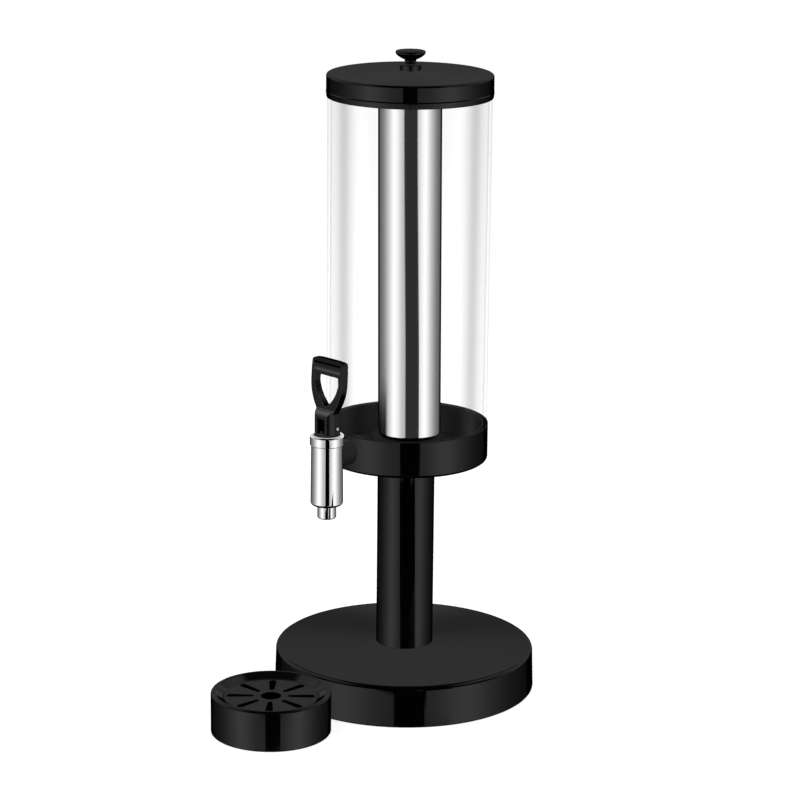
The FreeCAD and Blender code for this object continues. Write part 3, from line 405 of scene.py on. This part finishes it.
def drill(piece, cutters, operation="DIFFERENCE"):
    # takes the cutters out of the piece's mesh, or keeps only what they hold
    for cutter in cutters:
        hole = piece.modifiers.new("hole", "BOOLEAN")
        hole.operation = operation
        hole.solver = "EXACT"
        hole.object = cutter
    whole = piece.data
    piece.data = evaluated(piece)
    piece.modifiers.clear()
    bpy.data.meshes.remove(whole)
    for cutter in cutters:
        bpy.data.meshes.remove(cutter.data)


def bar(radius, length, middle, axis="Y", segments=64):
    # a bar along Y or Z: a cutter, or with six sides the blank of a nut
    bm = bmesh.new()
    bmesh.ops.create_cone(bm, cap_ends=True, segments=segments, radius1=radius, radius2=radius, depth=length)
    turn = {"Y": Matrix.Rotation(quarterTurn, 4, "X"), "Z": Matrix.Identity(4)}[axis]
    bmesh.ops.transform(bm, matrix=Matrix.Translation(middle) @ turn, verts=bm.verts[:])
    return meshObject("cutter", bm)


def turnedPiece(name, profile, body, slotName, material, nodes, place=(0, 0), steps=192, holes=()):
    piece = meshObject(name, turned(profile, steps, place))
    if holes:
        drill(piece, [bar(*hole) for hole in holes])
    smooth(piece)
    fit(piece, body, slotName, material, *nodes)
    return piece


# Turned pieces: base, column, collar, tank, tap, lid and ice tube

shankHeight = 0.243
shankHole = (0.0082, 0.06, (0, -0.085, shankHeight))  # radius, length, middle

baseProfile = [
    (0.1205, 0.0003, 0.0003), (0.123, 0.0003, 0.0014), (0.1218, 0.0393, 0.0036), (0.028, 0.0425),
    (0.0055, 0.0425), (0.0055, 0.04), (0.028, 0.04), (0.1193, 0.0368),
]
turnedPiece("baseShell", baseProfile, "tower", "gloss_black", glossBlack, ["base_shell"], steps=256)

columnProfile = [(0.02525, 0.0425), (0.02675, 0.0425, 0.0003), (0.02675, 0.224, 0.0003), (0.02525, 0.224)]
turnedPiece("columnTube", columnProfile, "tower", "gloss_black", glossBlack, ["column_tube"])

collarProfile = [
    (0, 0.224), (0.0759, 0.224, 0.0028), (0.0759, 0.258, 0.0003), (0.0751, 0.258, 0.0003),
    (0.0751, 0.2252, 0.002), (0, 0.2252),
]
turnedPiece("collarCup", collarProfile, "tower", "gloss_black", glossBlack, ["collar_cup"],
            steps=224, holes=[shankHole])

dishProfile = [
    (0, 0.2431), (0.0312, 0.2431), (0.0342, 0.228), (0.0719, 0.228), (0.0719, 0.2574, 0.0003),
    (0.0704, 0.2574, 0.0003), (0.0704, 0.2298, 0.002), (0.036, 0.2298, 0.0008), (0.033, 0.2449, 0.0016),
    (0, 0.2449),
]
turnedPiece("tankDish", dishProfile, "tower", "black_plastic", dishPlastic, ["tank_dish"],
            steps=224, holes=[shankHole])

tankProfile = [
    (0.072, 0.228, 0.0004), (0.075, 0.228, 0.0004), (0.075, 0.576, 0.0004), (0.072, 0.576, 0.0004),
]
turnedPiece("tankTube", tankProfile, "tower", "clear_acrylic", clearAcrylic, ["tank_tube"],
            steps=256, holes=[shankHole])

tapPlace = (0, -0.1021)
barrelProfile = [
    (0.008, 0.198), (0.0149, 0.198, 0.0028), (0.0145, 0.255, 0.0003), (0.0133, 0.255), (0.0133, 0.26, 0.0004),
    (0.011, 0.26, 0.0003), (0.011, 0.207), (0.005, 0.207), (0.005, 0.2038), (0.008, 0.2038),
]
inlet = (0.008, 0.03, (0, -0.0871, shankHeight))
turnedPiece("tapBarrel", barrelProfile, "tower", "chrome", chrome, ["tap_barrel"], tapPlace, holes=[inlet])

spoutProfile = [
    (0.006, 0.1854, 0.0008), (0.0087, 0.1854, 0.0014), (0.0087, 0.198), (0.008, 0.198),
    (0.008, 0.2038), (0.006, 0.2038),
]
turnedPiece("tapSpout", spoutProfile, "tower", "chrome", chrome, ["tap_spout"], tapPlace, steps=128)

ringProfile = [
    (0.0133, 0.255), (0.0157, 0.255, 0.0007), (0.0157, 0.2644, 0.0016), (0.0122, 0.2644, 0.0005),
    (0.0122, 0.2612), (0.0133, 0.2612),
]
turnedPiece("tapRing", ringProfile, "tower", "chrome", chrome, ["tap_ring"], tapPlace)

lidProfile = [
    (0.07535, 0.5635, 0.0002), (0.076, 0.5635, 0.0002), (0.0766, 0.5685, 0.0003), (0.0763, 0.5696, 0.0004),
    (0.0763, 0.5842, 0.0019), (0.0097, 0.5874), (0.0027, 0.5874), (0.0027, 0.5861),
    (0.0097, 0.5861), (0.07535, 0.5829, 0.001),
]
turnedPiece("lidCap", lidProfile, "lid", "gloss_black", glossBlack, ["lid_cap"], steps=256)

bossProfile = [(0.0027, 0.5874), (0.0097, 0.5874), (0.0097, 0.5929, 0.0009), (0.0027, 0.5929)]
turnedPiece("knobBoss", bossProfile, "lid", "gloss_black", glossBlack, ["knob_boss"], steps=128)

knobProfile = [
    (0.0025, 0.5929), (0.0046, 0.5929), (0.0057, 0.5938, 0.0006), (0.0057, 0.5948, 0.0005), (0.0053, 0.5953),
    (0.0051, 0.597, 0.0012), (0.0076, 0.5979, 0.002), (0.0113, 0.6, 0.002), (0.0133, 0.602, 0.0009),
    (0.01385, 0.6036, 0.0008), (0.0133, 0.605, 0.0006), (0.009, 0.60548), (0.0045, 0.60572), (0, 0.6058),
    (0, 0.5998), (0.0025, 0.5998),
]
turnedPiece("lidKnob", knobProfile, "lid", "gloss_black", glossBlack, ["lid_knob"], steps=128)

iceProfile = [
    (0, 0.2452), (0.0292, 0.2452, 0.0048), (0.0292, 0.574, 0.0003), (0.0284, 0.574, 0.0003),
    (0.0284, 0.246, 0.0042), (0, 0.246),
]
iceHang = {"height": 0.574, "lean": 0.0056}


def hang(piece, values):
    # lets it hang from a height a little out of plumb
    lean, offset = values["lean"], values["lean"] * values["height"]
    piece.data.transform(Matrix(((1, 0, -lean, offset), (0, 1, -lean, offset), (0, 0, 1, 0), (0, 0, 0, 1))))


hang(turnedPiece("iceTube", iceProfile, "ice_tube", "polished_steel", polishedSteel, ["ice_tube"]), iceHang)


# Shank fittings inside the tank, turned upright and then laid along the shank

def lay(piece):
    # heights become distances from the tower's axis towards the tap
    piece.data.transform(Matrix.Translation((0, 0, shankHeight)) @ Matrix.Rotation(quarterTurn, 4, "X"))


nutValues = {
    "flats": 0.022, "bore": 0.008, "low": 0.0575, "high": 0.0645, "chamfer": 0.0014,
    "faceShare": 0.97, "cornerSpare": 0.0002, "overrun": 0.01, "steps": 96, "sharpAngle": 20,
}


def makeNut(values):
    # hexagon nut with chamfered corners
    low, high, chamfer = values["low"], values["high"], values["chamfer"]
    height, middle = high - low, (0, 0, (low + high) / 2)
    corner = values["flats"] / math.sqrt(3)
    face, outside = values["flats"] / 2 * values["faceShare"], corner + values["cornerSpare"]
    piece = bar(corner, height, middle, "Z", 6)
    piece.name = "shankNut"
    piece.data.transform(Matrix.Rotation(math.pi / 6, 4, "Z"))
    cone = meshObject("cutter", turned([
        (0, low), (face, low), (outside, low + chamfer), (outside, high - chamfer), (face, high), (0, high)],
        values["steps"]))
    drill(piece, [cone], "INTERSECT")
    drill(piece, [bar(values["bore"], height + values["overrun"], middle, "Z", values["steps"])])
    lay(piece)
    smooth(piece, values["sharpAngle"])
    fit(piece, "tower", "black_plastic", mouldedBlack, "shank_nut")


makeNut(nutValues)

washerValues = {
    "profile": [(0.0081, 0.0645, 0.0002), (0.0115, 0.0645, 0.0003), (0.0115, 0.066, 0.0003),
                (0.0081, 0.066, 0.0002)],
    "steps": 96,
}


def makeWasher(values):
    piece = meshObject("shankWasher", turned(values["profile"], values["steps"]))
    lay(piece)
    smooth(piece)
    fit(piece, "tower", "black_plastic", mouldedBlack, "shank_washer")


makeWasher(washerValues)

shankValues = {
    "bore": 0.0055, "radius": 0.008, "low": 0.055, "high": 0.0945, "steps": 96,
    "thread": {"low": 0.0552, "high": 0.0582, "pitch": 0.0015, "depth": 0.0007, "crest": (0.45, 0.55)},
    "runOut": 0.0002, "barrelBore": 0.011, "barrelLength": 0.05,
}


def threadLine(radius, values):
    # outline of a screw thread between two heights
    root, pitch = radius - values["depth"], values["pitch"]
    count = int((values["high"] - values["low"]) / pitch)
    points = []
    for number in range(count):
        foot = values["low"] + number * pitch
        points += [(root, foot), *((radius, foot + pitch * share) for share in values["crest"])]
    return points + [(root, values["low"] + count * pitch)]


def makeShank(values):
    bore, radius = values["bore"], values["radius"]
    profile = [(bore, values["low"]), *threadLine(radius, values["thread"]),
               (radius, values["thread"]["high"] + values["runOut"]), (radius, values["high"]),
               (bore, values["high"])]
    piece = meshObject("tapShank", turned(profile, values["steps"]))
    lay(piece)
    drill(piece, [bar(values["barrelBore"], values["barrelLength"], (*tapPlace, shankHeight), "Z",
                      values["steps"])])
    smooth(piece)
    fit(piece, "tower", "black_plastic", mouldedBlack, "tap_shank")


makeShank(shankValues)
print("tower pieces turned")


# Frame shapes that only need their edges eased

easeValues = {"flatAngle": 0.5, "edgeAngle": 40, "segments": 2}


def eased(name, nodeName, body, slotName, material, width):
    bm = frameShell(nodeName)
    bmesh.ops.dissolve_limit(bm, angle_limit=math.radians(easeValues["flatAngle"]), verts=bm.verts[:],
                             edges=bm.edges[:])
    bmesh.ops.recalc_face_normals(bm, faces=bm.faces[:])
    piece = meshObject(name, bm)
    edges = piece.modifiers.new("edges", "BEVEL")
    edges.width = width
    edges.segments = easeValues["segments"]
    edges.limit_method = "ANGLE"
    edges.angle_limit = math.radians(easeValues["edgeAngle"])
    smooth(piece)
    fit(piece, body, slotName, material, nodeName)


for row in (
        ("basePad", "base_pad", "tower", "rubber_black", rubber, 0.0006),
        ("baseCover", "base_cover", "tower", "cover_steel", coverPaint, 0.0003),
        ("tapBonnet", "tap_bonnet", "tower", "black_plastic", mouldedBlack, 0.0003),
        ("tankGasket", "tank_gasket", "tower", "rubber_black", rubber, 0.0002),
        ("saddleGasket", "saddle_gasket", "tower", "rubber_black", rubber, 0.0002),
        ("innerGasket", "inner_gasket", "tower", "rubber_black", rubber, 0.0002),
        ("handlePin", "handle_pin", "handle", "chrome", chrome, 0.0004),
        ("lidLiner", "lid_liner", "lid", "black_plastic", mouldedBlack, 0.0002),
        ("lidGasket", "lid_gasket", "lid", "rubber_black", rubber, 0.0002),
        ("iceTubeRing", "ice_tube_ring", "ice_tube", "black_plastic", mouldedBlack, 0.0002),
        ("trayFootRing", "tray_foot_ring", "tray", "rubber_black", rubber, 0.0003)):
    eased(*row)


# Valve spring: it stands under the bonnet; the real one shortens as the stem lifts, this one is made at one
# length

springValues = {
    "radius": 0.0062, "wire": 0.0006, "wireSteps": 3, "turns": 7, "closed": 0.00125, "steps": 40,
    "lift": 0.00367, "sharpAngle": 50,
}


def makeSpring(values):
    low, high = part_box("valve_spring")
    foot, top = low[2] + values["wire"], high[2] - values["wire"]
    pitch = (top - foot - 2 * values["closed"]) / (values["turns"] - 2)
    curve = bpy.data.curves.new("springLine", "CURVE")
    curve.dimensions = "3D"
    line = curve.splines.new("POLY")
    line.points.add(values["turns"] * values["steps"])
    height = foot
    for number, point in enumerate(line.points):
        turn = number / values["steps"]
        angle = 2 * math.pi * turn
        point.co = (tapPlace[0] + values["radius"] * math.cos(angle),
                    tapPlace[1] + values["radius"] * math.sin(angle), height, 1)
        atEnd = turn < 1 or turn >= values["turns"] - 1
        height += (values["closed"] if atEnd else pitch) / values["steps"]
    curve.bevel_depth = values["wire"]
    curve.bevel_resolution = values["wireSteps"]
    curve.use_fill_caps = True
    spring = meshObject("valveSpring", curveShell(curve))
    smooth(spring, values["sharpAngle"])
    fit(spring, "tower", "steel", plainSteel, "valve_spring")
    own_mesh(spring)


makeSpring(springValues)


# Drip tray

trayPlace = (0.0076, -0.1783)
trayProfile = [
    (0.0529, 0.0002, 0.0002), (0.0549, 0.0002, 0.0012), (0.0549, 0.0384, 0.0022), (0.051, 0.0384, 0.0008),
    (0.0436, 0.0335, 0.0005), (0.0436, 0.0317), (0.0416, 0.0317, 0.0005), (0.0416, 0.005, 0.002),
    (0, 0.005), (0, 0.003), (0.0436, 0.003, 0.002), (0.0436, 0.0297, 0.0004), (0.0456, 0.0297, 0.0004),
    (0.0529, 0.0324, 0.0005),
]
trayDish = turnedPiece("trayDish", trayProfile, "tray", "black_plastic", glossPlastic, ["tray_dish"],
                       trayPlace, steps=224)


def darken(piece, inShade):
    # paints the faces whose middle and normal meet the test dull black, a painted shade as in a deep hollow
    piece.data.materials.append(paintedShadeBlack)
    for face in piece.data.polygons:
        if inShade(face.center, face.normal):
            face.material_index = 1


def fromTrayAxis(point):
    return math.hypot(point.x - trayPlace[0], point.y - trayPlace[1])


# painted shade: the tray's inside under the grate is painted dull black
trayPaintedShade = {"low": 0.0045, "high": 0.0316, "radius": 0.0417}
darken(trayDish, lambda middle, normal: trayPaintedShade["low"] < middle.z < trayPaintedShade["high"]
       and fromTrayAxis(middle) < trayPaintedShade["radius"])

grateValues = {
    "radius": 0.0423, "hole": 0.0092, "slots": 8, "inner": (0.0155, 0.0021), "outer": (0.0402, 0.0034),
    "middle": 0.0327, "thickness": 0.0018, "edge": 0.0005, "edgeSteps": 3, "firstSlot": 90,
    "rimSteps": 192, "holeSteps": 96, "slotSteps": 24,
}


def polySpline(curve, points):
    line = curve.splines.new("POLY")
    line.points.add(len(points) - 1)
    for target, (x, y) in zip(line.points, points):
        target.co = (x, y, 0, 1)
    line.use_cyclic_u = True


def arcPoints(radius, start, end, count, centre=(0, 0)):
    return [(centre[0] + radius * math.cos(math.radians(start + (end - start) * step / count)),
             centre[1] + radius * math.sin(math.radians(start + (end - start) * step / count)))
            for step in range(count + 1)]


def makeGrate(values):
    # flat outline with its openings, filled, thickened and rounded along every edge
    curve = bpy.data.curves.new("grateOutline", "CURVE")
    curve.dimensions = "2D"
    curve.fill_mode = "BOTH"
    polySpline(curve, arcPoints(values["radius"], 0, 360, values["rimSteps"])[:-1])
    polySpline(curve, arcPoints(values["hole"], 0, 360, values["holeSteps"])[:-1])
    near, narrow = values["inner"]
    far, wide = values["outer"]
    slot = (arcPoints(wide, -90, 90, values["slotSteps"], (far - wide, 0))
            + arcPoints(narrow, 90, 270, values["slotSteps"], (near + narrow, 0)))
    for number in range(values["slots"]):
        turn = math.radians(values["firstSlot"] + 360 / values["slots"] * number)
        polySpline(curve, [(x * math.cos(turn) - y * math.sin(turn), x * math.sin(turn) + y * math.cos(turn))
                           for x, y in slot])
    curve.extrude = values["thickness"] / 2 - values["edge"]
    curve.bevel_depth = values["edge"]
    curve.bevel_resolution = values["edgeSteps"]
    curve.offset = -values["edge"]
    bm = curveShell(curve)
    bmesh.ops.translate(bm, verts=bm.verts[:], vec=(*trayPlace, values["middle"]))
    return bm


def joined(name, meshes):
    # one piece from several separate shells
    whole = bmesh.new()
    for bm in meshes:
        part = bpy.data.meshes.new("part")
        bm.to_mesh(part)
        bm.free()
        whole.from_mesh(part)
        bpy.data.meshes.remove(part)
    return meshObject(name, whole)


grateRim = [
    (0.0417, 0.0318, 0.0003), (0.0432, 0.0318, 0.0003), (0.0432, 0.0341, 0.0005), (0.042, 0.0341, 0.0004),
    (0.0417, 0.0335),
]
grate = joined("trayGrate", [makeGrate(grateValues), turned(grateRim, steps=224, place=trayPlace)])
smooth(grate)
fit(grate, "grate", "black_plastic", glossPlastic, "tray_grate")
# painted shade: the slot walls and edges of the grate are painted dull black
gratePaintedShade = {"levelNormal": 0.6, "radius": 0.041}
darken(grate, lambda middle, normal: normal.z < gratePaintedShade["levelNormal"]
       and fromTrayAxis(middle) < gratePaintedShade["radius"])
print("drip tray made")


# Handle

handleValues = {
    "voxel": 0.00032, "rounding": 5, "roundingShare": 0.5,
    "recessHalf": 0.0046, "recessTop": 0.2799, "recessFront": -0.1101, "recessBack": -0.108,
}


def makeHandle(values):
    # the moulded handle: the frame's shape remeshed finely and its edges eased
    bm = frameShell("tap_handle")
    bmesh.ops.recalc_face_normals(bm, faces=bm.faces[:])
    handle = meshObject("tapHandle", bm)
    remesh = handle.modifiers.new("skin", "REMESH")
    remesh.mode = "VOXEL"
    remesh.voxel_size = values["voxel"]
    remesh.use_smooth_shade = True
    ease = handle.modifiers.new("ease", "SMOOTH")
    ease.factor = values["roundingShare"]
    ease.iterations = values["rounding"]
    coarse = handle.data
    handle.data = evaluated(handle)
    handle.modifiers.clear()
    bpy.data.meshes.remove(coarse)
    fit(handle, "handle", "black_plastic", handleBlackPaintedLight, "tap_handle")
    # painted shade: the window recess in the handle's front is painted dull black
    darken(handle, lambda middle, normal: abs(middle.x) < values["recessHalf"]
           and middle.z < values["recessTop"] and values["recessFront"] < middle.y < values["recessBack"])


makeHandle(handleValues)
print("handle made")


# Studio

studio = {
    "azimuth": 45,  # the side that the panels face, degrees from -Y towards +X
    "panels": [(0, 0.4), (9, 0.42), (20, 0.47), (28, 0.55), (36, 0.71), (43, 0.84), (51, 0.95),
               (57, 1.0), (63, 0.95), (71, 0.8), (80, 0.62), (90, 0.46), (100, 0.33), (112, 0.22),
               (125, 0.155), (138, 0.11), (143, 0.05), (147, 0), (180, 0)],
    "gain": 1.12,
    # dark gap between the panels: its edges in degrees by the fall of the mirrored ray,
    # wide for the foot of the column alone
    "falls": (0.15, 0.4),
    "gapLeft": [(0.157, -9.7), (0.26, -8.9), (0.289, -8.7), (0.293, -8.2), (0.314, -8.2), (0.315, -20.3),
                (0.347, -16.1), (0.3485, -8.1), (0.376, -8.1), (0.385, 0)],
    "gapRight": [(0.157, 10.1), (0.26, 18.6), (0.289, 20.2), (0.293, 18.2), (0.314, 18.5), (0.315, 41.7),
                 (0.347, 46.6), (0.3485, 20.6), (0.376, 20.6), (0.385, 0)],
    # the same gap as seen through the clear wall
    "tubeLeft": [(0.172, -21.2), (0.206, -18.9), (0.24, -14.6)],
    "tubeRight": [(0.172, 27.2), (0.206, 31.4), (0.24, 35.7)],
    "tubeGapLevel": 0.029,
    "panelTop": (0.0, 0.06), "panelFoot": (-0.43, -0.55),
    "tubeFoot": (-0.2615, -0.2665), "tubeFootAngles": (-85, -100),
    "behind": [(0.0, 0.34), (0.05, 1.03), (0.15, 1.06), (0.22, 1.15), (0.248, 1.17), (0.27, 0.5),
               (0.3, 0.62), (0.36, 0.84), (0.42, 0.88), (0.55, 0.4), (0.75, 0.1), (1.0, 0.03)],
    "behindAngles": (80, 120), "behindRises": (-0.01, 0.02),
    "sideGlow": 0.6, "sideRises": (0.5, 0.6, 0.84, 0.9), "sideAngles": (50, 70, 135, 150),
    "fill": 0.55, "backdrop": 1,
    "clearFaces": 1.5,  # a path that has met more of them has been through the clear wall
}


def halfTurns(angles):
    # degrees as shares of a half turn
    return [angle / 180 for angle in angles]


def gapEdge(tree, rise, through, falls, bare, seenThrough):
    # an edge of the gap as a share of a half turn plus a half, with and without the clear wall
    least, most = falls
    fall = ramp(tree, rise, (-least, -most))
    edges = []
    for points in (bare, seenThrough):
        places = [((depth - least) / (most - least), angle / 180 + 0.5) for depth, angle in points]
        edges.append(curved(tree, fall, places, "VECTOR"))
    change = product(tree, math2(tree, "SUBTRACT", edges[1], edges[0]), through)
    return math2(tree, "ADD", edges[0], change)


def plateau(tree, source, edges):
    # rises from 0 to 1 between the first two edges and falls back between the last two
    return product(tree, ramp(tree, source, edges[:2]), ramp(tree, source, edges[2:], (1, 0)))


def background(tree, strength):
    node = tree.nodes.new("ShaderNodeBackground")
    node.inputs["Color"].default_value = (1, 1, 1, 1)
    feed(tree, node.inputs["Strength"], strength)
    return node.outputs["Background"]


def seenRay(tree, path):
    # 1 for the rays that the camera sees, straight or through a clear body
    return math2(tree, "MAXIMUM", path.outputs["Is Camera Ray"], path.outputs["Is Transmission Ray"])


def makeWorld(values):
    world = bpy.data.worlds.new("studio")
    bpy.context.scene.world = world
    world.use_nodes = True
    tree = world.node_tree
    tree.nodes.clear()
    direction = tree.nodes.new("ShaderNodeTexCoord")
    turn = tree.nodes.new("ShaderNodeMapping")
    turn.inputs["Rotation"].default_value = (0, 0, math.radians(90 - values["azimuth"]))
    tree.links.new(direction.outputs["Generated"], turn.inputs["Vector"])
    around = tree.nodes.new("ShaderNodeTexGradient")
    around.gradient_type = "RADIAL"
    tree.links.new(turn.outputs["Vector"], around.inputs["Vector"])
    split = tree.nodes.new("ShaderNodeSeparateXYZ")
    tree.links.new(turn.outputs["Vector"], split.inputs["Vector"])
    rise = split.outputs["Z"]
    path = tree.nodes.new("ShaderNodeLightPath")
    # turn from the panels' middle as a share of a half turn: 0 in front, 1 or -1 behind
    sweep = math2(tree, "MULTIPLY", math2(tree, "SUBTRACT", around.outputs["Fac"], 0.5), 2)
    side = math2(tree, "ABSOLUTE", sweep)

    through = math2(tree, "GREATER_THAN", path.outputs["Transparent Depth"], values["clearFaces"])
    left = gapEdge(tree, rise, through, values["falls"], values["gapLeft"], values["tubeLeft"])
    right = gapEdge(tree, rise, through, values["falls"], values["gapRight"], values["tubeRight"])
    shifted = math2(tree, "ADD", sweep, 0.5)
    inGap = product(tree, math2(tree, "GREATER_THAN", shifted, left),
                    math2(tree, "LESS_THAN", shifted, right))

    panels = curved(tree, side, [(angle / 180, level) for angle, level in values["panels"]])
    panels = product(tree, panels, math2(tree, "SUBTRACT", 1, inGap), values["gain"])
    panels = math2(tree, "ADD", panels, product(tree, inGap, through, values["tubeGapLevel"]))
    # low inside the clear wall the left side of the ice tube shows the tank's black bottom: the world goes
    # dark there for rays through the clear wall, a painted reflection in place of the real one
    paintedDishReflection = product(tree, through, ramp(tree, rise, values["tubeFoot"]),
                   ramp(tree, sweep, halfTurns(values["tubeFootAngles"])))
    panels = product(tree, panels, ramp(tree, rise, values["panelTop"], (1, 0)),
                     ramp(tree, rise, values["panelFoot"], (1, 0)), math2(tree, "SUBTRACT", 1, paintedDishReflection))
    behind = product(tree, curved(tree, rise, values["behind"]),
                     ramp(tree, side, halfTurns(values["behindAngles"])),
                     ramp(tree, rise, values["behindRises"]))
    glow = product(tree, plateau(tree, rise, values["sideRises"]),
                   plateau(tree, side, halfTurns(values["sideAngles"])), values["sideGlow"])
    mirrored = math2(tree, "ADD", math2(tree, "ADD", panels, behind), glow)

    bounced = shaderMix(tree, path.outputs["Is Glossy Ray"], background(tree, values["fill"]),
                        background(tree, mirrored))
    whole = shaderMix(tree, seenRay(tree, path), bounced.outputs["Shader"],
                      background(tree, values["backdrop"]))
    output = tree.nodes.new("ShaderNodeOutputWorld")
    tree.links.new(whole.outputs["Shader"], output.inputs["Surface"])


makeWorld(studio)

floorValues = {"radius": 9.0, "sides": 96, "height": -0.0001, "paint": 0.3, "glow": 0.84}


def makeFloor(values):
    bm = bmesh.new()
    bmesh.ops.create_circle(bm, cap_ends=True, segments=values["sides"], radius=values["radius"])
    bmesh.ops.translate(bm, verts=bm.verts[:], vec=(0, 0, values["height"]))
    floor = meshObject("studioFloor", bm)
    material, tree = newMaterial("paleFloor")
    tree.nodes.clear()
    paint = tree.nodes.new("ShaderNodeBsdfDiffuse")
    paint.inputs["Color"].default_value = (values["paint"],) * 3 + (1,)
    glow = tree.nodes.new("ShaderNodeEmission")
    path = tree.nodes.new("ShaderNodeLightPath")
    seen = math2(tree, "MAXIMUM", seenRay(tree, path), path.outputs["Is Glossy Ray"])
    tree.links.new(product(tree, seen, values["glow"]), glow.inputs["Strength"])
    both = tree.nodes.new("ShaderNodeAddShader")
    tree.links.new(paint.outputs["BSDF"], both.inputs[0])
    tree.links.new(glow.outputs["Emission"], both.inputs[1])
    # from below it is clear, which leaves the undersides in view
    facing = tree.nodes.new("ShaderNodeNewGeometry")
    clear = tree.nodes.new("ShaderNodeBsdfTransparent")
    sides = shaderMix(tree, facing.outputs["Backfacing"], both.outputs["Shader"], clear.outputs["BSDF"])
    output = tree.nodes.new("ShaderNodeOutputMaterial")
    tree.links.new(sides.outputs["Shader"], output.inputs["Surface"])
    floor.data.materials.append(material)
    floor.visible_glossy = False


makeFloor(floorValues)

cardDistance = 0.4
cards = {  # corners as (across, height)
    "leftCard": [(-0.135, -0.05), (-0.05, -0.05), (-0.05, 0.101), (-0.179, 0.088)],
    "rightCard": [(0.1, -0.05), (0.338, -0.05), (0.282, 0.079), (0.185, 0.0875), (0.1, 0.083)],
}


def makeCard(name, corners):
    # an upright black card in front of the object, which only mirrored rays meet
    bm = bmesh.new()
    bm.faces.new([bm.verts.new((x, -cardDistance, z)) for x, z in corners])
    turn = Matrix.Rotation(math.radians(studio["azimuth"]), 4, "Z")
    bmesh.ops.transform(bm, matrix=turn, verts=bm.verts[:])
    card = meshObject(name, bm)
    material, tree = newMaterial(name)
    tree.nodes.clear()
    glow = tree.nodes.new("ShaderNodeEmission")
    glow.inputs["Strength"].default_value = 0
    output = tree.nodes.new("ShaderNodeOutputMaterial")
    tree.links.new(glow.outputs["Emission"], output.inputs["Surface"])
    card.data.materials.append(material)
    card.visible_camera = False
    card.visible_diffuse = False
    card.visible_transmission = False
    card.visible_shadow = False


for cardName, cardCorners in cards.items():
    makeCard(cardName, cardCorners)

lampAim = (0, 0, 0.3)
lamps = [
    {"name": "keyLamp", "azimuth": 0, "elevation": 50, "distance": 2.2, "size": 1.4, "power": 26},
    {"name": "fillLamp", "azimuth": 100, "elevation": 40, "distance": 2.4, "size": 1.6, "power": 16},
    {"name": "backLamp", "azimuth": 225, "elevation": 45, "distance": 2.4, "size": 1.6, "power": 12},
]


def makeLamp(values):
    azimuth, elevation = math.radians(values["azimuth"]), math.radians(values["elevation"])
    away = Vector((math.sin(azimuth) * math.cos(elevation), -math.cos(azimuth) * math.cos(elevation),
                   math.sin(elevation)))
    light = bpy.data.lights.new(values["name"], "AREA")
    light.shape = "DISK"
    light.size = values["size"]
    light.energy = values["power"]
    lamp = addObject(values["name"], light)
    lamp.location = Vector(lampAim) + away * values["distance"]
    lamp.rotation_mode = "QUATERNION"
    lamp.rotation_quaternion = away.to_track_quat("Z", "Y")
    lamp.visible_glossy = False


for lampValues in lamps:
    makeLamp(lampValues)

cameraValues = {
    "azimuth": 45.137, "away": 2.66288, "height": 0.98811, "down": 14.925, "roll": 0.587,
    "lens": 133.134, "sensor": 36, "clipEnd": 100, "standAzimuth": 45,
}


def makeCamera(values):
    stand = math.radians(values["standAzimuth"])
    camera = addObject("camera", bpy.data.cameras.new("camera"))
    camera.data.lens = values["lens"]
    camera.data.sensor_width = values["sensor"]
    camera.data.clip_end = values["clipEnd"]
    place = Matrix.Translation((values["away"] * math.sin(stand), -values["away"] * math.cos(stand),
                                values["height"]))
    turn = (Matrix.Rotation(math.radians(values["azimuth"]), 4, "Z")
            @ Matrix.Rotation(math.radians(90 - values["down"]), 4, "X")
            @ Matrix.Rotation(math.radians(values["roll"]), 4, "Z"))
    camera.matrix_world = place @ turn
    bpy.context.scene.camera = camera


makeCamera(cameraValues)
bpy.context.scene.view_settings.view_transform = "Standard"
print("studio made")
